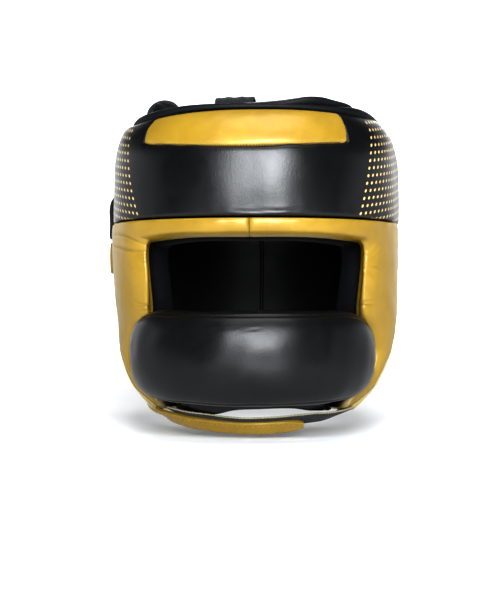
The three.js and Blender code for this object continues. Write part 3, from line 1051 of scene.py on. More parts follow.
@dataclass(frozen=True)
class StitchRow:
    """A row of stitches: short round-ended bars of thread that lie on a surface."""

    length: float = 2.4
    width: float = 0.75
    height: float = 0.45
    rings: int = 7
    sides: int = 6
    side_length: float = 0.3
    tip: float = 0.02

    def skin(self, centres: Array, along: Array, out: Array) -> Skin:
        """One bar at each centre: circles along it that shrink to both ends as sqrt(1 - x^4).

        Args:
            centres: Where the stitches lie.
            along: Their directions.
            out: The surface's outward directions.

        Returns:
            All of them as one skin.
        """
        x = np.linspace(-1.0, 1.0, self.rings)
        turn = 2.0 * np.pi * np.arange(self.sides) / self.sides
        size = np.sqrt(np.maximum(1.0 - x**4, self.tip))
        bar = np.stack(
            np.broadcast_arrays(
                x[:, None] * self.length / 2,
                size[:, None] * np.cos(turn) * self.width / 2,
                size[:, None] * np.sin(turn) * self.height,
            ),
            axis=-1,
        )
        girdle = np.arange(self.sides + 1)[None, :] * self.side_length
        uv = uv_grid(x[:, None] * self.length, girdle)
        pattern = Skin.of_grid(bar, uv, closed=(False, True), capped=True)
        along = unit(along - out * np.sum(along * out, axis=-1, keepdims=True))
        frame = np.stack([along, np.cross(out, along), out], axis=1)
        points = centres[:, None] + pattern.points[None] @ frame
        count = len(pattern.points)
        quads = pattern.quads[None] + count * np.arange(len(centres))[:, None, None]
        uvs = np.broadcast_to(pattern.corner_uv, (len(centres), *pattern.corner_uv.shape))
        blank = np.zeros(count * len(centres))
        return Skin(points.reshape(-1, 3), quads.reshape(-1, 4), uvs.reshape(-1, 4, 2), {"rim": blank})

    def along(self, line: Array, out: Array, pitch: float) -> Skin:
        """Stitches at even ways along a line, each lying along it.

        Args:
            line: Points of the line.
            out: The surface's outward directions there.
            pitch: The way from stitch to stitch.

        Returns:
            All of them as one skin.
        """
        way = run_length(line[:, None], 0)[:, 0]
        at = np.arange(pitch, way[-1] - pitch / 2, pitch)
        known = (line, np.gradient(line, axis=0), out)
        centres, runs, outs = (
            np.stack([np.interp(at, way, column) for column in values.T], axis=-1) for values in known
        )
        return self.skin(centres, unit(runs), unit(outs))


def pad_line(angle: Array, girth: Numbers, layer: Numbers, lift: Numbers) -> tuple[Array, Array]:
    """A line in padding space, lifted off its layer.

    Args:
        angle: In degrees.
        girth: In millimetres.
        layer: From 0 to 1.
        lift: Millimetres outwards.

    Returns:
        The line's points and the outward directions there.
    """
    out = PaddingSpace.frame(angle, girth, layer)[2]
    return PaddingSpace.point(angle, girth, layer) + out * lift, out


BAND_TOPS = SmoothTable(
    ("angle", "girth"),
    (
        (-123, 73.0), (-106, 75.5), (-80, 79.0), (-55, 79.5), (-42, 77.4), (-25, 74.0),
        (0, 72.0), (25, 72.2), (42, 73.6), (55, 75.0), (80, 75.5), (106, 75.0),
        (129, 72.0), (231, 72.0), (254, 75.5), (280, 76.5),
    ),
)


@dataclass(frozen=True)
class UpperBand:
    """The black band round the forehead and temples, with the gold insert let into its top."""

    end_angle: float = 106.0
    top_girth: float = 72.0
    bottom_girth: float = 130.4
    insert_turn: float = -2.5
    insert_floor: float = 0.9
    insert_gap: float = 0.45
    insert_proud: float = 0.02
    insert_wall: Pair = (-0.4, 0.4)
    insert_seam: Pair = (-1.4, -0.2)
    stitched_angles: Pair = (-35.0, 32.0)
    stitch_count: int = 96
    sunk: float = 0.32
    sunk_girths: Pair = (-3.5, 2.5)
    temple_press: float = 1.9
    temple_angles: Pair = (56.0, 80.0)
    temple_girth: float = 110.0
    temple_reach: float = 18.0
    print_pitch: float = 5.05
    print_climb: float = 9.5
    creases: tuple[tuple[float, float, float, float], ...] = (
        (-4, 9, 128.0, 0.5),
        (1, 15, 127.0, 0.7),
        (6, 19, 128.6, -0.4),
    )
    insert_rows: SmoothTable = SmoothTable(
        ("at", "angle", "top", "bottom"),
        (
            (0, -40, 88.5, 95),
            (1, -38, 82.0, 95.5),
            (2, -33, 78.6, 96.5),
            (3, 0, 75, 99),
            (4, 33, 76, 96.5),
            (5, 37.6, 78.6, 95.5),
            (6, 38.6, 86, 95),
        ),
    )
    print_rows: SmoothTable = SmoothTable(
        ("girth", "left", "right"),
        ((72, 50, 56.5), (86, 50.5, 54.8), (107, 45.0, 49.2), (117, 42.8, 46.8), (132, 39.2, 41.9)),
    )

    def insert_edges(self, angle: Array) -> tuple[Array, Array]:
        """The girths of the insert's top and bottom edge at angles within it.

        Args:
            angle: In degrees.

        Returns:
            The top's girths and the bottom's.
        """
        share = np.linspace(0.0, 1.0, 241)
        angles = self.insert_rows.shared(share, "angle") + self.insert_turn
        top = np.interp(angle, angles, self.insert_rows.shared(share, "top"))
        return top, np.interp(angle, angles, self.insert_rows.shared(share, "bottom"))

    def inside_insert(self, angle: Array, girth: Array) -> Array:
        """How far inside the insert's recess points lie, in millimetres; below 0 outside it.

        Args:
            angle: In degrees.
            girth: In millimetres.

        Returns:
            The way inside.
        """
        top, bottom = self.insert_edges(angle)
        first, last = self.insert_rows.columns["angle"][[0, -1]] + self.insert_turn
        ends = np.minimum(angle - first, last - angle) * MM_PER_DEGREE
        return np.minimum(np.minimum(girth - top, bottom - girth), ends) + self.insert_gap

    def recess(self, angle: Array, girth: Array) -> Array:
        """The band's outer layer: lower within the insert's outline, and under the crown's rolled edge.

        Args:
            angle: In degrees.
            girth: In millimetres.

        Returns:
            The layer.
        """
        below = girth - BAND_TOPS.at(angle, "girth")
        sunk = self.sunk * (1.0 - smoothstep(below, *self.sunk_girths))
        inside = smoothstep(self.inside_insert(angle, girth), *self.insert_wall)
        return (1.0 - sunk) * (1.0 - (1.0 - self.insert_floor) * inside)

    def band_relief(self, where: PadPlace) -> Relief:
        """A slack forehead: swells, pressed temples, gathers at the lower seam and fine creases above it.

        Args:
            where: Places on the pad.

        Returns:
            The relief there.
        """
        swells = Unevenness(seed=3, height=0.2, shortest=22.0, longest=80.0)
        relief = where.stuffed(swells, crown=0.9, reach=9.0)
        relief.height += where.puckers(where.last, pitch=14.0, height=0.1, reach=6.0)
        pressed = bell(where.girth - self.temple_girth, self.temple_reach)
        pressed = pressed * smoothstep(np.abs(where.angle), *self.temple_angles)
        relief.height -= self.temple_press * pressed
        for start, end, girth, drop in self.creases:
            path = pad_path(((start, girth), ((start + end) / 2, girth + drop), (end, girth)))
            relief.fold(Crease(path, depth=0.11, width=0.8, lip=0.04), where.flat())
        # The band is painted darker along the insert's groove, as painted shade.
        seam = smoothstep(self.inside_insert(where.angle, where.girth), *self.insert_seam)
        relief.crease = np.maximum(relief.crease, seam)
        return relief

    def print_uv(self, where: PadPlace) -> Array:
        """The temples' print: columns by the way behind its front edge, rows that climb towards the back.

        Args:
            where: Places on the band.

        Returns:
            The UV in steps of the print's lattice; u is below 0 before the print.
        """
        angle, girth = where.angle[:, 0], where.girth[0]
        column = np.arange(where.angle.shape[1])
        behind = []
        for side, sign in SIDES:
            row = np.interp(sign * self.print_rows.at(girth, side), angle, np.arange(len(angle)))
            low = np.floor(row).astype(int)
            edge = lerp(where.along[low, column], where.along[low + 1, column], row - low)
            behind.append(sign * (where.along - edge))
        u = np.where(where.angle > 0, behind[0], behind[1])
        climb = np.radians(self.print_climb)
        v = where.points[..., 2] * np.cos(climb) - where.points[..., 1] * np.sin(climb)
        return np.stack([u, v], axis=-1) / self.print_pitch

    def insert_stations(self, share: Array) -> Station:
        """The insert's stations from end to end.

        Args:
            share: Shares of the way.

        Returns:
            The stations.
        """
        angle = self.insert_rows.shared(share, "angle") + self.insert_turn
        top = self.insert_rows.shared(share, "top")
        bottom = self.insert_rows.shared(share, "bottom")
        low = self.insert_floor + self.insert_proud
        return Station(angle, top, angle, bottom, low, 1.0 + self.insert_proud)

    def insert_relief(self, where: PadPlace) -> Relief:
        """A thin stuffed strip with slight gathers on both long edges.

        Args:
            where: Places on the pad.

        Returns:
            The relief there.
        """
        swells = Unevenness(seed=7, height=0.13, shortest=10.0, longest=40.0)
        relief = where.stuffed(swells, crown=0.7, reach=5.0)
        relief.height += where.puckers(where.last, pitch=7.5, height=0.16, reach=4.0)
        return relief

    def build(self) -> None:
        """Makes the band, the insert and the whip stitches on the insert's lower edge."""
        band = Pad(
            patch(-self.end_angle, self.end_angle, self.top_girth, self.bottom_girth, low=0.0, high=1.0),
            along=330, across=84,
            first=Edge(roll=9.0, floor=0.75),
            last=Edge(roll=2.4, floor=0.93),
            ends=Edge(roll=3.0, floor=0.88),
            layer_at=self.recess, relief=self.band_relief, uv=self.print_uv, ease=0.2,
        )
        place(band.skin(), "forehead_band", PRINTED, ["forehead_pad"])
        insert = Pad(
            self.insert_stations, along=170, across=40,
            first=Edge(roll=3.0, floor=0.5), last=Edge(roll=2.0, floor=0.5), ends=Edge(roll=2.0, floor=0.5),
            relief=self.insert_relief, ease=0.35,
        )
        place(insert.skin(), "forehead_gold_insert", GOLD, ["forehead_insert"])
        self.build_stitches()

    def build_stitches(self) -> None:
        """Short stitches across the insert's lower edge, set side by side."""
        angle = np.linspace(*self.stitched_angles, self.stitch_count)
        bottom = self.insert_edges(angle)[1]
        centres, out = pad_line(angle, bottom + 0.1, layer=1.0, lift=0.25)
        down = PaddingSpace.frame(angle, bottom, 1.0)[1]
        row = StitchRow(length=1.5, width=0.55, height=0.25)
        place(row.skin(centres, down, out), "insert_whip_stitches", BLACK_THREAD)


@dataclass(frozen=True)
class FacePads:
    """The gold brow and cheek pad of each side, with the lining behind it."""

    lining_layer: float = 0.43
    lining_gap: float = 0.02
    reach_angle: float = 2.2
    reach_girth: float = 2.5
    jaw_reach: float = 3.0
    piping: float = 5.5
    piping_shade: float = 0.55
    piping_fade: float = 0.5
    piping_seam: float = 0.9
    notch_inset: float = 2.4
    pad_rows: float = 12.0
    lining_rows: float = 13.0
    reach_rows: Pair = (2.04, 2.76)
    hung_rows: Pair = (4.3, 5.3)
    jaw_rows: Pair = (9.8, 11.4)
    notch_shares: Pair = (0.55, 0.60)
    jaw_shares: Pair = (0.72, 0.80)
    lined_shares: Pair = (0.84, 0.9)
    jaw_drawn_in: float = 2.4
    jaw_girths: Pair = (244.0, 266.0)
    cheek_fuller: float = 2.4
    cheek_angles: Pair = (52.0, 72.0)
    cheek_girth: float = 196.0
    cheek_reach: float = 24.0
    overhang: dict[str, float] = field(default_factory=lambda: {"left": 1.15, "right": 1.36})
    wider: dict[str, float] = field(default_factory=lambda: {"left": 0.4, "right": 0.0})
    rows: SmoothTable = SmoothTable(
        ("at", "from_angle", "from_girth", "to_angle", "to_girth", "tuck"),
        (
            (0, 0.03, 131.4, 0.03, 143.5, 0),
            (1, 22, 131.4, 21, 143.5, 0),
            (2, 44, 131.4, 40, 145, 2),
            (3, 63, 131.4, 50.5, 147, 8),
            (4, 76, 133, 52.2, 157, 9),
            (5, 76, 151, 52, 172, 9),
            (6, 76, 172, 52, 189, 8),
            (7, 76, 190, 53.5, 199, 7.5),
            (8, 75.5, 206, 58, 209, 4),
            (9, 73, 221, 60.5, 224, 0),
            (10, 68, 237, 57.5, 239, 0),
            (11, 62, 254, 51, 254, 0),
            (12, 54, 267, 45.5, 264, 0),
            (13, 46, 267.5, 37, 263, 0),
        ),
    )

    def stations(
        self, side: str, last_row: float, low: float, high: float, angle: float, girth: float, lean: float
    ) -> Callable[[Array], Station]:
        """Stations of one side, from the brow's centre seam to the jaw.

        Args:
            side: The wearer's side.
            last_row: The row of the table where it ends.
            low: Lowest layer.
            high: Highest layer.
            angle: How far the last edge reaches into the opening, in degrees, behind the brow.
            girth: How far it hangs below the brow.
            lean: The share of the table's tuck by which its outer face overhangs the opening.

        Returns:
            The stations.
        """
        sign = dict(SIDES)[side]

        def made(share: Array) -> Station:
            """The station at each share of the way along the pad.

            Args:
                share: Shares of the way.

            Returns:
                The stations.
            """
            row = share * last_row
            jaw = self.jaw_reach * smoothstep(row, *self.jaw_rows)
            inward = angle * (smoothstep(row, *self.reach_rows) + jaw)
            hung = girth * (1.0 - smoothstep(row, *self.hung_rows))
            tuck = lean * self.rows.at(row, "tuck")
            opened = self.rows.at(row, "to_angle") + self.wider[side] * self.rows.at(row, "tuck")
            to_angle = np.maximum(opened - inward - tuck, self.rows.columns["to_angle"][0])
            return Station(
                sign * self.rows.at(row, "from_angle"),
                self.rows.at(row, "from_girth"),
                sign * to_angle,
                self.rows.at(row, "to_girth") + hung,
                low,
                high,
                sign * tuck,
            )

        return made

    def shared_relief(self, where: PadPlace, seed: int) -> Relief:
        """What both sides have: a crown, swells, gathers at the upper seam, piping with painted shade in
        the groove beside it, and a dark jaw wall.

        Args:
            where: Places on the pad.
            seed: The swells' seed.

        Returns:
            The relief there.
        """
        swells = Unevenness(seed=seed, height=0.2, shortest=14.0, longest=55.0)
        relief = where.stuffed(swells, crown=0.9, reach=6.0)
        relief.height += where.puckers(where.first, pitch=13.0, height=0.12, reach=5.0)
        notch = smoothstep(where.share, *self.notch_shares) * bell(where.last - self.notch_inset, 0.8)
        low = smoothstep(where.share, *self.jaw_shares)
        piped = where.first - self.piping
        jaw = low * (1.0 - smoothstep(piped, -self.piping_fade, self.piping_fade))
        seam = low * bell(piped - self.piping_seam, 0.6)
        relief.rim = np.maximum(notch, jaw) * self.piping_shade
        relief.height += 0.35 * notch + 0.4 * jaw - 0.4 * seam
        relief.height -= self.jaw_drawn_in * smoothstep(where.girth, *self.jaw_girths)
        lined = smoothstep(where.share, *self.lined_shares) * (1.0 - smoothstep(where.last, 1.0, 2.0))
        # Painted shade in the groove beside the piping, and the jaw's wall near the last edge painted
        # near-black as the lining over it.
        relief.crease = np.maximum(0.6 * seam, lined)
        return relief

    def right_relief(self, where: PadPlace) -> Relief:
        """A puffed fold at the eye corner, fine wrinkles under it, and creases that meet at the notch.

        Args:
            where: Places on the pad.

        Returns:
            The relief there.
        """
        relief = self.shared_relief(where, seed=11)
        flat = where.flat()
        fold_top = pad_path(((-70, 138.5), (-60, 139.5), (-53, 141.0), (-47, 144.5), (-40, 150.5)))
        fold_foot = pad_path(((-68, 147.5), (-58, 150.0), (-50, 152.0), (-41, 153.0)))
        relief.fold(Crease(fold_top, depth=0.6, width=1.1, lip=0.1), flat)
        relief.fold(Crease(fold_foot, depth=0.7, width=1.1, lip=0.12), flat)
        wrinkles = (
            ((-48, 154.8), (-42, 155.8)),
            ((-47, 157.4), (-42, 158.2)),
            ((-46, 160.4), (-42.5, 161.0)),
        )
        for wrinkle in wrinkles:
            relief.fold(Crease(pad_path(wrinkle), depth=0.3, width=0.9, lip=0.1), flat)
        notch = (-42.5, 192.0)
        for start in ((-51, 186.4), (-50, 189.8), (-49, 194.2)):
            relief.fold(Crease(pad_path((start, notch)), depth=0.35, width=0.95, lip=0.12), flat)
        return relief

    def left_relief(self, where: PadPlace) -> Relief:
        """A fuller cheek, pull wrinkles that fan out from the eye corner, and creases above the notch.

        Args:
            where: Places on the pad.

        Returns:
            The relief there.
        """
        relief = self.shared_relief(where, seed=12)
        flat = where.flat()
        fuller = bell(where.girth - self.cheek_girth, self.cheek_reach)
        relief.height += self.cheek_fuller * fuller * smoothstep(where.angle, *self.cheek_angles)
        corner = np.array((45.0, 161.2))
        fan = (
            (54.5, 145.5), (58.5, 148.0), (61.0, 152.0), (61.5, 156.5),
            (60.5, 161.0), (57.5, 167.5), (53.5, 175.0),
        )
        for tip in fan:
            start = lerp(corner, np.array(tip), 0.05)
            relief.fold(Crease(pad_path((start, tip)), depth=-0.42, width=1.0), flat)
        notch = (46.5, 190.0)
        for start in ((53.5, 185.0), (54.0, 189.5)):
            relief.fold(Crease(pad_path((start, notch)), depth=0.4, width=0.95, lip=0.12), flat)
        return relief

    def lining_relief(self, where: PadPlace) -> Relief:
        """Soft cloth over foam.

        Args:
            where: Places on the pad.

        Returns:
            The relief there.
        """
        return where.stuffed(Unevenness(seed=15, height=0.2, shortest=12.0, longest=40.0))

    def build(self) -> None:
        """Makes the pad and the lining of each side."""
        reliefs = {"left": self.left_relief, "right": self.right_relief}
        for side in reliefs:
            pad = Pad(
                self.stations(
                    side, self.pad_rows, low=self.lining_layer + self.lining_gap, high=1.0,
                    angle=0.0, girth=0.0, lean=self.overhang[side],
                ),
                along=300, across=72,
                first=Edge(roll=2.2, floor=0.92),
                last=Edge(roll=1.0, floor=0.14, wide=0.26, shoulder=0.34, reach=0.9),
                ends=Edge(roll=0.6, floor=0.97),
                relief=reliefs[side], ease=0.25,
            )
            place(pad.skin(), f"gold_face_pad_{side}", GOLD, [f"face_pad_{side}"])
            lining = Pad(
                self.stations(
                    side, self.lining_rows, low=0.0, high=self.lining_layer,
                    angle=self.reach_angle, girth=self.reach_girth, lean=0.0,
                ),
                along=160, across=36,
                first=Edge(roll=2.0, floor=0.86),
                last=Edge(roll=0.5, floor=0.14, wide=0.2),
                ends=Edge(roll=1.5, floor=0.86),
                relief=self.lining_relief, ease=0.25,
            )
            place(lining.skin(), f"face_lining_{side}", LINING, [f"lining_{side}"])


@dataclass(frozen=True)
class EarGuards:
    """A padded ring round each ear hole."""

    angle: float = 91.5
    girth: float = 170.0
    half_angle: float = 13.6
    half_girth: float = 37.0
    corner: float = 5.0
    layer: float = 0.93
    hole_angle: float = 89.0
    hole_girth: float = 176.0
    hole_half_angle: float = 6.0
    hole_half_girth: float = 15.0
    hole_roll: Edge = Edge(roll=0.35, floor=0.14)
    rim_roll: Edge = Edge(roll=0.14, floor=0.86)
    stitch_angle: float = 3.6
    stitch_girth: float = 7.6

    def skin(self, sign: float) -> Skin:
        """Rows run round the hole, columns from the hole to a rim with rounded corners.

        The outer face rolls down to the hole as a quarter round and a little at the rim.

        Args:
            sign: 1 for the wearer's left, -1 for the right.

        Returns:
            The ring.
        """
        turn = np.linspace(0.0, 2.0 * np.pi, 168, endpoint=False)[:, None]
        t = steps(36, ACROSS_EASE)[None, :]
        s, c = np.sin(turn), np.cos(turn)
        corner = (np.abs(s) ** self.corner + np.abs(c) ** self.corner) ** (-1.0 / self.corner)
        rim_angle = self.angle + self.half_angle * corner * s
        rim_girth = self.girth + self.half_girth * corner * c
        angle = lerp(self.hole_angle + self.hole_half_angle * s, rim_angle, t)
        girth = lerp(self.hole_girth + self.hole_half_girth * c, rim_girth, t)
        full = self.hole_roll.height(t, 0.0) * self.rim_roll.height(1.0 - t, 0.0)
        full = np.broadcast_to(self.layer * full, angle.shape)
        outer = PaddingSpace.point(sign * angle, girth, full)
        inner = PaddingSpace.point(sign * angle, girth, np.zeros(full.shape))
        way = run_length(outer, 1)
        edge = np.minimum(way, way[:, -1:] - way)
        around = turn * 0.5 * (self.half_girth + self.hole_half_girth)
        gathers = 0.3 * np.cos(34.0 * turn + 1.5 * np.sin(3.0 * turn)) * np.exp(-way / 5.0)
        swell = Unevenness(seed=21, height=0.22, shortest=10.0, longest=40.0).at(outer) + gathers
        out = PaddingSpace.frame(sign * angle, girth, full)[2]
        outer = outer + out * (swell * smoothstep(edge, *SEAM_FADE))[..., None]
        uv = uv_grid(around, way)
        ring = np.concatenate([uv, uv[:, ::-1], uv[:, :1]], axis=1)
        return Skin.of_grid(
            np.concatenate([outer, inner[:, ::-1]], axis=1),
            np.concatenate([ring, ring[:1]], axis=0),
            closed=(True, True),
            values=leather_values(np.concatenate([edge, np.full(edge.shape, FAR_FROM_EDGES)], axis=1)),
        )

    def build(self) -> None:
        """Makes both guards and a row of stitches round each hole."""
        turn = np.linspace(0.0, 2.0 * np.pi, 121)
        for side, sign in SIDES:
            place(self.skin(sign), f"ear_ring_{side}", BLACK, [f"ear_guard_{side}"])
            angle = sign * (self.hole_angle + (self.hole_half_angle + self.stitch_angle) * np.sin(turn))
            girth = self.hole_girth + (self.hole_half_girth + self.stitch_girth) * np.cos(turn)
            line, out = pad_line(angle, girth, self.layer, lift=0.1)
            place(StitchRow().along(line, out, pitch=4.2), f"ear_ring_stitches_{side}", BLACK_THREAD)


@dataclass(frozen=True)
class Crown:
    """Four flaps round the crown's opening: thin inside, with a padded rim over the band."""

    tip_girth: float = 22.0
    end_girth: float = 70.0
    layer: float = 0.55
    rim_from: float = 50.0
    rim_to: float = 63.0
    steps_per_degree: float = 1.3
    stitch_inset: float = 1.6
    stitch_margin: float = 3.0
    pleats: float = 38.0
    pleat_height: float = 0.7
    pleat_girths: Pair = (26.0, 52.0)
    roll_steps_per_degree: float = 1.2
    roll_sink: float = 0.4
    roll_blunt: float = 3.0
    roll_tip: float = 0.02
    roll_over: float = 1.5
    rolls: SmoothTable = SmoothTable(
        ("angle", "radius", "layer", "above"),
        (
            (-90, 3.9, 0.78, 2.2),
            (-70, 4.4, 0.85, 2.6),
            (-56, 4.6, 0.92, 2.6),
            (-38, 3.2, 1.0, 1.4),
            (34, 2.6, 1.0, 0.7),
            (50, 4.0, 1.0, 0.7),
            (58, 4.6, 0.954, 0.7),
            (72, 5.0, 0.88, 0.7),
            (90, 5.1, 0.87, 0.7),
            (130, 3.8, 0.99, 0.7),
            (180, 2.6, 1.0, 0.7),
            (240, 3.4, 0.94, 0.7),
            (274, 3.9, 0.78, 2.2),
        ),
    )
    rims: SmoothTable = SmoothTable(
        ("angle", "layer"),
        (
            (-90, 1.0), (-58, 1.0), (-48, 1.22), (-38, 1.0), (-5, 1.02), (12, 1.14),
            (25, 1.26), (42, 1.2), (58, 1.05), (80, 0.98), (274, 1.0),
        ),
    )
    flaps: tuple[tuple[str, float, float], ...] = (
        ("front", -80.0, 80.0),
        ("left", 86.0, 123.0),
        ("back", 129.0, 231.0),
        ("right", 237.0, 274.0),
    )

    def layer_at(self, angle: Array, girth: Array) -> Array:
        """The flaps' outer layer: it swells to the rim, highest beside the front and at the lace's loop."""
        return lerp(self.layer, self.rims.at(angle, "layer"), smoothstep(girth, self.rim_from, self.rim_to))

    def roll(self, start: float, end: float) -> Skin:
        """The rolled edge of a flap: a round of leather in the groove above the band, blunt at both ends.

        Args:
            start: First angle.
            end: Last angle.

        Returns:
            The roll.
        """
        angle = lerp(start, end, steps(int((end - start) * self.roll_steps_per_degree), ease=0.3))
        girth = BAND_TOPS.at(angle, "girth") - self.rolls.at(angle, "above")
        line, out = pad_line(angle, girth, self.rolls.at(angle, "layer"), lift=-self.roll_sink)
        way = run_length(line[:, None], 0)[:, 0]
        near = np.clip(np.minimum(way, way[-1] - way) / self.roll_blunt, self.roll_tip, 1.0)
        blunt = np.sqrt(1.0 - (1.0 - near) ** 2)
        return tube(line, out, self.rolls.at(angle, "radius") * blunt, sides=20)

    def relief(self, where: PadPlace) -> Relief:
        """Pleats that the drawn lace gathers, deepest at the tips, and a sewn line below the rim, darkened
        as painted shade.

        Args:
            where: Places on the pad.

        Returns:
            The relief there.
        """
        relief = where.stuffed(Unevenness(seed=31, height=0.22, shortest=9.0, longest=36.0))
        gathered = 1.0 - smoothstep(where.girth, *self.pleat_girths)
        turn = np.radians(where.angle)
        waves = np.cos(turn * self.pleats + 2.0 * np.sin(turn * 5.0))
        relief.height += self.pleat_height * gathered * waves
        sewn = bell(where.girth - self.rim_from, 1.0)
        relief.height -= 0.5 * sewn
        # The sewn line is painted darker as shade in its groove.
        relief.crease = 0.5 * sewn
        return relief

    def build(self) -> None:
        """Makes the flaps and the stitches along their rims."""
        for name, start, end in self.flaps:
            flap = Pad(
                patch(start, end, self.tip_girth, self.end_girth, low=0.0, high=1.0),
                along=int((end - start) * self.steps_per_degree), across=56,
                first=Edge(roll=4.0, floor=0.3),
                last=Edge(roll=5.0, floor=0.7),
                ends=Edge(roll=2.4, floor=0.6),
                layer_at=self.layer_at, relief=self.relief, ease=0.3,
            )
            leather = Skin.joined([flap.skin(), self.roll(start - self.roll_over, end + self.roll_over)])
            place(leather, f"crown_leather_flap_{name}", CROWN_BLACK, [f"crown_flap_{name}"])
            angle = np.linspace(start + self.stitch_margin, end - self.stitch_margin, 80)
            girth = np.full(angle.shape, self.rim_from - self.stitch_inset)
            line, out = pad_line(angle, girth, self.layer_at(angle, girth), lift=0.1)
            place(StitchRow().along(line, out, pitch=4.4), f"crown_flap_stitches_{name}", BLACK_THREAD)


@dataclass(frozen=True)
class ClosingStrap:
    """A strap across the back: its girths, its free end's angle, layer and taper, its looks and edges."""

    name: str
    top: float
    bottom: float
    end: float
    crest: float
    taper: float
    finish: Finish
    thread: Finish
    above: Edge
    below: Edge


@dataclass(frozen=True)
class BackOfHead:
    """Two back pads with a sewn channel, and two closing straps whose free ends stand off on one side."""

    start: float = 107.0
    end: float = 179.7
    top_girth: float = 72.0
    bottom_girth: float = 204.0
    layer: float = 0.92
    channel_girth: float = 140.0
    channel_depth: float = 0.22
    channel_reach: float = 6.0
    slit_gap: float = 0.08
    tongue_layers: Pair = (0.04, 0.6)
    strap_start: float = 122.0
    strap_layer: float = 0.13
    strap_gap: float = 0.02
    strap_free: Pair = (0.7, 0.97)
    strap_free_layer: float = 1.04
    strap_press: float = 3.2
    stitched_shares: Pair = (0.03, 0.68)
    stitch_inset: float = 4.6
    straps: tuple[ClosingStrap, ...] = (
        ClosingStrap(
            "upper", top=107.0, bottom=139.6, end=264.0, crest=1.31, taper=8.0,
            finish=BLACK, thread=BLACK_THREAD,
            above=Edge(roll=0.6, floor=0.14, wide=0.4), below=Edge(roll=0.8, floor=0.3, wide=0.08),
        ),
        ClosingStrap(
            "lower", top=140.1, bottom=167.0, end=263.0, crest=1.3, taper=0.0,
            finish=GOLD, thread=GOLD_THREAD,
            above=Edge(roll=0.8, floor=0.3, wide=0.04), below=Edge(roll=0.8, floor=0.3, wide=0.04),
        ),
    )

    def layer_at(self, angle: Array, girth: Array) -> Array:
        """The pads' outer layer, with a channel across them."""
        return 1.0 - self.channel_depth * bell(girth - self.channel_girth, self.channel_reach)

    def relief(self, where: PadPlace) -> Relief:
        """Swells, gathers on both sides of the channel and along the slit, and painted shade in the
        channel.

        Args:
            where: Places on the pad.

        Returns:
            The relief there.
        """
        channel = np.abs(where.girth - self.channel_girth)
        swells = Unevenness(seed=41, height=0.26, shortest=12.0, longest=55.0)
        relief = where.stuffed(swells, crown=0.9, reach=9.0)
        relief.height += where.puckers(channel, pitch=9.0, height=0.4, reach=6.0)
        relief.height += where.puckers(where.last, pitch=10.0, height=0.3, reach=5.0)
        # The channel's groove is painted darker as shade.
        relief.crease = 0.6 * bell(channel, 1.2)
        return relief

    def strap_stations(self, strap: ClosingStrap) -> Callable[[Array], Station]:
        """Stations of a strap that lies on the pads, and rises and narrows towards its free end.

        Args:
            strap: The strap.

        Returns:
            The stations, by the share of the way.
        """

        def made(share: Array) -> Station:
            """The station at each share of the way along the strap.

            Args:
                share: Shares of the way.

            Returns:
                The stations.
            """
            angle = lerp(self.strap_start, strap.end, share)
            rise = smoothstep(share, *self.strap_free)
            flat = self.layer + self.strap_gap
            low = lerp(flat, self.strap_free_layer, rise)
            high = lerp(flat + self.strap_layer, strap.crest, rise)
            bottom = np.full(angle.shape, strap.bottom)
            return Station(angle, strap.top + strap.taper * rise, angle, bottom, low, high)

        return made

    def strap_relief(self, where: PadPlace) -> Relief:
        """A flat strap with a pressed line inside each long edge, darkened as painted shade.

        Args:
            where: Places on the pad.

        Returns:
            The relief there.
        """
        relief = where.stuffed(Unevenness(seed=43, height=0.12, shortest=12.0, longest=50.0))
        pressed = bell(np.minimum(where.first, where.last) - self.strap_press, 0.8)
        relief.height -= 0.3 * pressed
        # The pressed line is painted darker as shade in its groove.
        relief.crease = 0.4 * pressed
        return relief

    def build(self) -> None:
        """Makes the pads, the straps and the straps' stitches."""
        for side, sign in SIDES:
            pad = Pad(
                patch(
                    sign * self.start, sign * self.end, self.top_girth, self.bottom_girth,
                    low=0.0, high=self.layer,
                ),
                along=120, across=110,
                first=Edge(roll=12.0, floor=0.62),
                last=Edge(roll=12.0, floor=0.14),
                ends=Edge(roll=3.5, floor=0.8),
                layer_at=self.layer_at, relief=self.relief, ease=0.3,
            )
            place(pad.skin(), f"back_leather_pad_{side}", BLACK, [f"back_pad_{side}"])
        slit = self.end + self.slit_gap
        tongue = Pad(
            patch(slit, 360.0 - slit, self.top_girth + 6.0, self.bottom_girth - 4.0, *self.tongue_layers),
            along=4, across=60,
            first=Edge(roll=2.0, floor=0.3), last=Edge(roll=2.0, floor=0.3), ends=Edge(roll=0.2, floor=0.8),
        )
        place(tongue.skin(), "back_slit_tongue", BLACK)
        for strap in self.straps:
            self.build_strap(strap)

    def build_strap(self, strap: ClosingStrap) -> None:
        """Makes a strap and a row of stitches inside each of its long edges.

        Args:
            strap: The strap.
        """
        stations = self.strap_stations(strap)
        band = Pad(
            stations, along=190, across=30,
            first=strap.above, last=strap.below, ends=Edge(roll=2.0, floor=0.14),
            relief=self.strap_relief, ease=0.35,
        )
        place(band.skin(), f"back_closing_strap_{strap.name}", strap.finish, [f"back_strap_{strap.name}"])
        s = stations(np.linspace(*self.stitched_shares, 90))
        stitches = []
        for girth in (strap.top + self.stitch_inset, strap.bottom - self.stitch_inset):
            line, out = pad_line(s.from_angle, girth, s.high, lift=-0.15)
            stitches.append(StitchRow().along(line, out, pitch=4.4))
        place(Skin.joined(stitches), f"back_strap_stitches_{strap.name}", strap.thread)


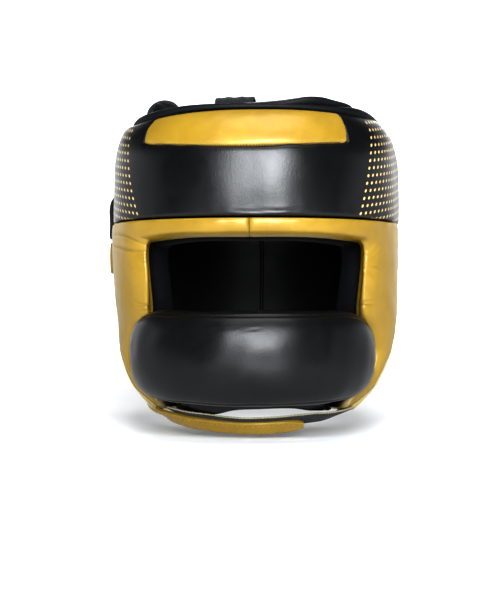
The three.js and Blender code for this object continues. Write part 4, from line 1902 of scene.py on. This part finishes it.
@dataclass(frozen=True)
class FaceBar:
    """The rounded padded bar across nose and mouth, with its backing lip below."""

    height: float = 64.0
    thickness: float = 38.0
    end_thickness: float = 19.0
    end_rise: float = 3.0
    z: float = -184.5
    squareness: float = 2.35
    sides: int = 128
    side_length: float = 1.6
    tip: float = 0.9992
    height_power: float = 5.0
    thin_power: float = 2.5
    end_power: float = 24.0
    end_fade: Pair = (0.97, 0.995)
    sewn_lines: tuple[Pair, ...] = ((0.30, 1.0), (0.52, 1.0), (0.42, -1.0))
    sewn_width: float = 0.75
    sewn_depth: float = 0.8
    sewn_fade: Pair = (0.9, 0.98)
    gather_height: float = 0.4
    gather_from: Pair = (0.80, 0.95)
    gather_to: Pair = (0.96, 1.0)
    crumples: int = 14
    crumple_seed: int = 53
    crumple_x: Pair = (-20.0, 8.0)
    crumple_z: Pair = (-168.5, -163.0)
    crumple_reach: Pair = (2.0, 5.5)
    crumple_slope: float = 0.12
    backing_sides: int = 48
    backing_inset: float = 0.09
    backing_back: float = 25.0
    backing_thickness: float = 3.0
    backing_top: float = -196.0
    backing_feet: SmoothTable = SmoothTable(
        ("x", "foot"),
        (
            (-66, -210), (-57, -221), (-45, -224), (-25, -224.5), (-12, -221.5),
            (5, -220.5), (30, -220.5), (42, -222.5), (56, -221.5), (66, -210),
        ),
    )
    spine: tuple[Pair, ...] = (
        (-79.5, -64), (-71, -87), (-53, -107), (-27, -119.5), (0, -123),
        (27, -119.5), (53, -107), (71, -87), (79.5, -64),
    )

    def centre_line(self, share: Array) -> Array:
        """Points of the spine's plan at shares of its length.

        Args:
            share: The shares.

        Returns:
            Their x and y.
        """
        corners = np.array(self.spine, float)
        way = np.concatenate([[0.0], np.cumsum(np.linalg.norm(np.diff(corners, axis=0), axis=1))])
        table = SmoothTable(("way", "x", "y"), np.column_stack([way, corners]))
        fine = np.linspace(0.0, 1.0, 801)
        line = np.stack([table.shared(fine, "x"), table.shared(fine, "y")], axis=-1)
        length = np.concatenate([[0.0], np.cumsum(np.linalg.norm(np.diff(line, axis=0), axis=1))])
        at = share * length[-1]
        return np.stack([np.interp(at, length, line[:, 0]), np.interp(at, length, line[:, 1])], axis=-1)

    def relief(self, points: Array, across: Array, up: Array, u: Array) -> Relief:
        """Swells, sewn lines along the top and bottom edge darkened as painted shade, gathers at the ends
        and a crumpled upper front with painted shade in its valleys.

        Args:
            points: The bar's points.
            across: From -1 on its inner face to 1 on its outer face.
            up: From -1 at its foot to 1 at its top.
            u: From 0 at its middle to 1 at its ends.

        Returns:
            The relief.
        """
        relief = Relief.flat(across)
        relief.height = Unevenness(seed=51, height=0.3, shortest=16.0, longest=70.0).at(points)
        middle = 1.0 - smoothstep(u, *self.sewn_fade)
        half = self.thickness / 2
        for line, side in self.sewn_lines:
            sewn = bell((across - line) * half, self.sewn_width) * (up * side > 0) * middle
            relief.height = relief.height - self.sewn_depth * sewn
            # Each sewn line is painted darker as shade in its groove.
            relief.crease = np.maximum(relief.crease, 0.9 * sewn)
        near_end = smoothstep(u, *self.gather_from) * (1.0 - smoothstep(u, *self.gather_to))
        relief.height += self.gather_height * near_end * np.cos(up * 21.0 + 2.0 * np.sin(up * 5.0))
        front = points[..., [0, 2]]
        source = np.random.default_rng(self.crumple_seed)
        facing = (across > 0.2).astype(float)
        for _ in range(self.crumples):
            x = source.uniform(*self.crumple_x)
            z = source.uniform(*self.crumple_z)
            reach = source.uniform(*self.crumple_reach)
            slope = source.uniform(-self.crumple_slope, self.crumple_slope)
            path = np.array([[x - reach, z - slope * reach], [x, z + 0.2], [x + reach, z + slope * reach]])
            height, valley = Crease(path, depth=0.11, width=0.6, lip=0.05).at(front)
            relief.height = relief.height + height * facing
            # Crumple valleys are painted slightly darker as shade.
            relief.crease = np.maximum(relief.crease, 0.15 * valley * facing)
        return relief

    def skin(self) -> Skin:
        """Superellipse sections along the spine: full height almost to the ends, thinner towards them.

        Returns:
            The bar.
        """
        share = steps(240, ease=0.75)
        u = np.minimum(np.abs(2.0 * share - 1.0), self.tip)
        plan = self.centre_line(share)
        run = unit(np.gradient(plan, axis=0))
        out = np.stack([run[:, 1], -run[:, 0], np.zeros(len(run))], axis=-1)
        half_height = self.height / 2 * np.sqrt(1.0 - u**self.height_power)
        half_thick = lerp(self.thickness, self.end_thickness, u**self.thin_power) / 2
        half_thick = half_thick * np.sqrt(1.0 - u**self.end_power)
        turn = ring_turns(self.sides)
        across = signed_power(np.cos(turn), 2 / self.squareness)
        up = signed_power(np.sin(turn), 2 / self.squareness)
        centre = np.column_stack([plan, self.z + self.end_rise * u**2])
        points = centre[:, None] + out[:, None] * (half_thick[:, None] * across)[..., None]
        points = points + UP * (half_height[:, None] * up)[..., None]
        across, up = np.broadcast_to(across, points.shape[:2]), np.broadcast_to(up, points.shape[:2])
        ends = np.broadcast_to(u[:, None], points.shape[:2])
        relief = self.relief(points, across, up, ends)
        normals = grid_normals(np.concatenate([points[:, -1:], points, points[:, :1]], axis=1))[:, 1:-1]
        normals = normals * np.sign(np.sum(normals * (points - centre[:, None])))
        points = points + normals * (relief.height * (1.0 - smoothstep(ends, *self.end_fade)))[..., None]
        along = run_length(plan[:, None], 0)
        girdle = np.arange(self.sides + 1)[None, :] * self.side_length
        uv = uv_grid(along, girdle)
        values = leather_values(np.full(points.shape[:2], FAR_FROM_EDGES), relief.crease)
        return Skin.of_grid(points, uv, closed=(False, True), capped=True, values=values)

    def backing(self) -> Skin:
        """A thin lip behind the bar's foot: a rounded strip along the spine, deepest beside the chin.

        Returns:
            The lip.
        """
        share = lerp(self.backing_inset, 1.0 - self.backing_inset, steps(120, ease=0.3))
        plan = self.centre_line(share)
        run = unit(np.gradient(plan, axis=0))
        inward = np.stack([-run[:, 1], run[:, 0], np.zeros(len(run))], axis=-1)
        turn = ring_turns(self.backing_sides)
        thick = signed_power(np.cos(turn), 0.6)
        up = 0.5 + 0.5 * signed_power(np.sin(turn), 0.45)
        centre = np.column_stack([plan, np.zeros(len(plan))]) + inward * self.backing_back
        foot = self.backing_feet.at(centre[:, 0], "foot")
        points = centre[:, None] + inward[:, None] * (thick[None, :, None] * self.backing_thickness / 2)
        points = points + UP * lerp(foot[:, None], self.backing_top, up[None, :])[..., None]
        along = run_length(plan[:, None], 0)
        depth = (self.backing_top - foot)[:, None]
        uv = uv_grid(along, depth * np.append(up, up[0]))
        values = leather_values(depth * up)
        return Skin.of_grid(points, uv, closed=(False, True), capped=True, values=values)

    def build(self) -> None:
        """Makes the bar and the lip behind it."""
        place(self.skin(), "padded_face_bar", BLACK, ["face_bar"])
        place(self.backing(), "bar_backing_lip", BLACK)


@dataclass(frozen=True)
class ChinStraps:
    """The chin strap's gold half over its black woven half."""

    gold_thickness: float = 3.6
    woven_thickness: float = 2.4
    sides: int = 40
    stitched_shares: Pair = (0.04, 0.90)
    stitch_inset: float = 2.6
    columns: tuple[str, ...] = ("at", "x", "y", "z", "tilt", "width")
    gold_rows: tuple[tuple[float, ...], ...] = (
        (0, -72.5, -49, -221, 12, 12),
        (1, -67, -60, -224.8, 18, 14),
        (2, -57, -73, -228.2, 42, 11.5),
        (3, -34, -87, -232.0, 52, 10.6),
        (4, 0, -92, -234.2, 52, 10.6),
        (5, 20, -90.5, -233.2, 52, 10.6),
        (6, 31, -88, -232.4, 52, 8.5),
        (7, 36, -86.5, -232, 52, 4.3),
    )
    woven_rows: tuple[tuple[float, ...], ...] = (
        (0, 69, -55, -221.5, 14, 14),
        (1, 62, -66, -225.0, 20, 17),
        (2, 51, -77, -227.2, 22, 19),
        (3, 30, -86, -228.5, 22, 20),
        (4, 0, -90.5, -230.5, 22, 20),
        (5, -34, -85.5, -227.6, 22, 20),
        (6, -56, -72, -223.4, 18, 18),
    )

    def frames(self, rows: Sequence[Sequence[float]], share: Array) -> tuple[Array, Array, Array, Array]:
        """A band's centre line, its direction across and outwards, and its width, at shares of its table.

        Args:
            rows: The band's table.
            share: Shares of the way.

        Returns:
            Centre points, directions across, directions outwards and widths.
        """
        table = SmoothTable(self.columns, rows)
        centre = np.stack([table.shared(share, name) for name in ("x", "y", "z")], axis=-1)
        run = unit(np.gradient(centre, axis=0))
        level = unit(np.stack([run[:, 1], -run[:, 0], np.zeros(len(run))], axis=-1))
        level = level * np.where(run[:, :1] > 0, 1.0, -1.0)
        lean = np.radians(table.shared(share, "tilt"))[:, None]
        across = level * np.cos(lean) + UP * np.sin(lean)
        across = unit(across - run * np.sum(across * run, axis=-1, keepdims=True))
        return centre, across, np.cross(run, across), table.shared(share, "width")

    def band(self, rows: Sequence[Sequence[float]], thickness: float) -> Skin:
        """A flat band: rounded oblong sections along its centre line.

        Args:
            rows: The band's table.
            thickness: Its thickness.

        Returns:
            The band, with its pale edge yarn as rim, laid only on the edges' upper side, where it also
            stands for a painted highlight.
        """
        centre, across, out, width = self.frames(rows, steps(180, ease=0.45))
        turn = ring_turns(self.sides)
        flat = signed_power(np.cos(turn), 0.42)
        thick = signed_power(np.sin(turn), 0.5)
        points = centre[:, None] + across[:, None] * (flat[None, :] * width[:, None] / 2)[..., None]
        points = points + out[:, None] * (thick[None, :, None] * thickness / 2)
        swell = Unevenness(seed=61, height=0.12, shortest=8.0, longest=40.0).at(points)
        points = points + UP * swell[..., None]
        along = run_length(centre[:, None], 0)
        side = np.concatenate([flat, flat[:1]]) * np.max(width) / 2
        uv = uv_grid(along, side[None, :])
        edge = (1.0 - np.abs(flat))[None, :] * width[:, None] / 2
        # The pale edge is kept to the side of each edge that faces up: a painted highlight where the light
        # falls.
        above = smoothstep(thick[None, :] * np.sign(out[:, 2:]), -0.45, -0.2)
        rim = smoothstep(np.abs(flat), 0.955, 0.985)[None, :] * above
        values = leather_values(edge, rim=rim)
        return Skin.of_grid(points, uv, closed=(False, True), capped=True, values=values)

    def build(self) -> None:
        """Makes both halves and the gold half's stitches."""
        woven = self.band(self.woven_rows, self.woven_thickness)
        place(woven, "chin_webbing", WEBBING, ["chin_strap_loop"])
        gold = self.band(self.gold_rows, self.gold_thickness)
        gold.values["rim"] = np.zeros(len(gold.points))
        place(gold, "chin_leather_strap", GOLD, ["chin_strap"])
        share = np.linspace(*self.stitched_shares, 160)
        centre, across, out, width = self.frames(self.gold_rows, share)
        lift = self.gold_thickness / 2 + 0.1
        down_and_front = np.array([0.0, -1.0, -1.0])
        out = out * np.sign(np.sum(out * down_and_front))
        aside = across * (width / 2 - self.stitch_inset)[:, None]
        row = StitchRow(length=2.2, width=0.7, height=0.35)
        stitches = [row.along(centre + side * aside + out * lift, out, pitch=3.6) for side in (-1.0, 1.0)]
        place(Skin.joined(stitches), "chin_strap_stitches", GOLD_THREAD)


@dataclass(frozen=True)
class CrownLace:
    """The drawn lace of the crown, its doubled loop and the woven keepers that hold it."""

    crown: Crown
    diameter: float = 3.2
    girth: float = 45.0
    bow_angle: float = -47.8
    bow_girth: float = 66.0
    bow_heading: float = -22.0
    bow_reach: float = 12.2
    bow_rise: float = 9.2
    bow_pitch: float = 3.5
    bow_foot: float = -12.6
    bow_cross: Pair = (0.46, 0.54)
    ring_angles: Pair = (6.0, 354.0)
    ring_climb: Pair = (6.0, 16.0)
    ring_lift: float = 0.6
    ring_spread: float = 3.0
    keeper_length: float = 28.0
    keeper_reach: float = 14.0
    keeper_height: float = 9.6
    keeper_wall: float = 1.8
    keeper_gap: float = 0.2
    keeper_arc: float = 26.0
    keeper_steps: int = 25
    keepers: tuple[tuple[str, float], ...] = (
        ("front", -12.0), ("left", 94.0), ("back", 180.0), ("right", -94.0),
    )

    def ring(self) -> Skin:
        """The lace round the crown; both ends climb a little towards the loop.

        Returns:
            The lace.
        """
        turn = np.linspace(*self.ring_angles, 420)
        climb = 1.0 - smoothstep(np.minimum(turn, 360.0 - turn), *self.ring_climb)
        angle = self.bow_angle + turn
        lift = (self.diameter / 2 + self.ring_lift + climb)[:, None]
        line, out = pad_line(angle, self.girth + self.ring_spread * climb, self.crown.layer, lift)
        return tube(line, out, self.diameter / 2, CORD_SIDES)

    def bow(self) -> Skin:
        """Two upright arches, the inner one a pitch inside the outer, joined at one foot.

        Returns:
            The loop.
        """
        foot = PaddingSpace.point(self.bow_angle, self.bow_girth, 1.0)
        foot[2] = self.bow_foot
        heading = np.radians(self.bow_heading)
        around = np.array([np.cos(heading), np.sin(heading), 0.0])
        s = np.linspace(0.0, 1.0, 180)
        turn = np.pi * (1.0 - np.abs(1.0 - 2.0 * s))
        inset = self.bow_pitch * smoothstep(s, *self.bow_cross)
        line = foot + around * ((self.bow_reach - inset) * np.cos(turn))[:, None]
        line = line + UP * ((self.bow_rise - inset) * np.sin(turn))[:, None]
        aside = np.broadcast_to(np.cross(around, UP), line.shape)
        return tube(line, aside, self.diameter / 2, CORD_SIDES)

    def keeper(self, angle: float) -> Skin:
        """A woven tunnel: a band between two half ellipses, carried along the lace, pinched at its mouths.

        Args:
            angle: In degrees.

        Returns:
            The keeper.
        """
        turn = np.linspace(0.0, np.pi, self.keeper_steps)
        arch = np.column_stack([np.cos(turn), np.sin(turn)])
        outside = np.array([self.keeper_reach / 2, self.keeper_height])
        profile = np.concatenate([outside * arch, (outside - self.keeper_wall) * arch[::-1]])
        x = steps(40, ease=0.5) - 0.5
        sink = 1.0 - 0.06 * np.cos(x * 9.0) ** 2 - 0.05 * smoothstep(np.abs(x), 0.42, 0.5)
        spot = (angle, self.girth, self.crown.layer)
        around, down, out = PaddingSpace.frame(*spot)
        foot = PaddingSpace.point(*spot) + out * self.keeper_gap
        points = foot + around * (x[:, None, None] * self.keeper_length) - down * profile[None, :, :1]
        points = points + out * (profile[None, :, 1] * sink[:, None])[..., None]
        arc = np.linspace(0.0, self.keeper_arc, self.keeper_steps)
        across = np.concatenate([arc, arc[::-1], arc[:1]])
        uv = uv_grid((x * self.keeper_length)[:, None], across[None, :])
        rim = np.zeros(points.shape[:2])
        return Skin.of_grid(points, uv, closed=(False, True), capped=True, values={"rim": rim})

    def build(self) -> None:
        """Makes the lace, its loop and the keepers."""
        place(self.ring(), "crown_drawn_lace", LACE, ["crown_lace"])
        place(self.bow(), "crown_lace_loop", LACE, ["lace_bow"])
        for name, angle in self.keepers:
            place(self.keeper(angle), f"woven_keeper_{name}", WEBBING, [f"lace_keeper_{name}"])


@dataclass(frozen=True)
class Softbox:
    """An oblong studio lamp that looks at the headgear's middle."""

    name: str
    azimuth: float
    elevation: float
    distance: float
    width: float
    height: float
    power: float
    tint: Colour = (1.0, 1.0, 1.0)

    def build(self, target: Array) -> None:
        """Hangs the lamp at its bearing from the target; azimuth 0 is in front, positive to +X.

        Args:
            target: The point that it looks at, in metres.
        """
        turn, climb = np.radians(self.azimuth), np.radians(self.elevation)
        back = np.array([np.sin(turn) * np.cos(climb), -np.cos(turn) * np.cos(climb), np.sin(climb)])
        lamp = bpy.data.lights.new(self.name, "AREA")
        lamp.shape = "RECTANGLE"
        lamp.size, lamp.size_y = self.width, self.height
        lamp.energy = self.power
        lamp.color = self.tint
        holder = bpy.data.objects.new(self.name, lamp)
        holder.location = target + back * self.distance
        holder.rotation_euler = (np.pi / 2 - climb, 0.0, turn)
        bpy.context.scene.collection.objects.link(holder)


COOL_LIGHT = (0.93, 0.965, 1.0)


@dataclass(frozen=True)
class Studio:
    """Floor, lamps, sky and the camera at the photograph's angle."""

    azimuth: float = 2.5
    distance: float = 1.05
    middle_z: float = -0.145
    lens: float = 82.6
    shift_x: float = -0.0117
    floor_z: float = -0.2415
    floor_front: float = -4.0
    floor_back: float = 2.2
    sweep_radius: float = 0.9
    wall_top: float = 3.0
    floor_half: float = 1.1
    side_front: float = -0.6
    side_step: float = 0.01
    side_top: float = 1.0
    sky: Colour = (0.93, 0.945, 0.97)
    sky_strength: float = 0.08
    contrast: float = 0.74
    lamps: tuple[Softbox, ...] = (
        Softbox(
            "front_panel", azimuth=5.0, elevation=19.0, distance=1.6,
            width=0.9, height=1.15, power=26.0, tint=COOL_LIGHT,
        ),
        Softbox(
            "front_core", azimuth=5.0, elevation=20.0, distance=1.58,
            width=0.4, height=1.0, power=35.0, tint=COOL_LIGHT,
        ),
        Softbox(
            "back_panel", azimuth=180.0, elevation=30.0, distance=1.9, width=1.4, height=1.0, power=18.0
        ),
        Softbox(
            "top_panel", azimuth=10.0, elevation=72.0, distance=1.5, width=0.7, height=0.7, power=9.0
        ),
    )

    def sweep(self) -> Skin:
        """The floor, which turns up through quarter rounds into a wall behind and one on each side.

        Returns:
            The stage's skin.
        """
        turn = np.linspace(0.0, np.pi / 2, 25)
        away = np.append(self.sweep_radius * np.sin(turn), self.sweep_radius)
        rise = np.append(self.sweep_radius * (1.0 - np.cos(turn)), self.wall_top)
        front = (self.floor_front, self.side_front - self.side_step, self.side_front)
        y = np.concatenate([front, self.floor_back + away])
        behind = np.concatenate([np.zeros(len(front)), rise])
        x = np.concatenate([self.floor_half + away[::-1], -self.floor_half - away])
        low = np.minimum(rise, self.side_top)
        beside = np.concatenate([low[::-1], low])[None, :] * (y[:, None] >= self.side_front)
        z = self.floor_z + np.maximum(behind[:, None], beside)
        points = np.stack(np.broadcast_arrays(x[None, :], y[:, None], z), axis=-1) / MM
        return Skin.of_grid(points, points[..., :2])

    def build(self) -> None:
        """Makes the stage and sets the scene's camera."""
        target = np.array([0.0, 0.0, self.middle_z])
        floor = self.sweep().to_object("studio_sweep")
        floor.data.materials.append(FLOOR.material())
        for lamp in self.lamps:
            lamp.build(target)
        world = bpy.data.worlds.new("studio_sky")
        world.use_nodes = True
        sky = world.node_tree.nodes["Background"]
        sky.inputs["Color"].default_value = (*self.sky, 1.0)
        sky.inputs["Strength"].default_value = self.sky_strength
        scene = bpy.context.scene
        scene.world = world
        scene.view_settings.view_transform = "Standard"
        scene.view_settings.gamma = self.contrast
        turn = np.radians(self.azimuth)
        camera = bpy.data.cameras.new("photo_camera")
        camera.lens = self.lens
        camera.shift_x = self.shift_x
        stand = bpy.data.objects.new("photo_camera", camera)
        stand.location = target + self.distance * np.array([np.sin(turn), -np.cos(turn), 0.0])
        stand.rotation_euler = (np.pi / 2, 0.0, turn)
        scene.collection.objects.link(stand)
        scene.camera = stand


def main() -> None:
    """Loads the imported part, builds each sub-assembly over it and sets the stage."""
    logging.basicConfig(level=logging.INFO, format="%(message)s")
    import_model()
    crown = Crown()
    assemblies = (
        UpperBand(), FacePads(), EarGuards(), crown,
        BackOfHead(), FaceBar(), ChinStraps(), CrownLace(crown),
    )
    for assembly in assemblies:
        log.info("building %s", type(assembly).__name__)
        assembly.build()
    Studio().build()


if __name__ == "__main__":
    main()
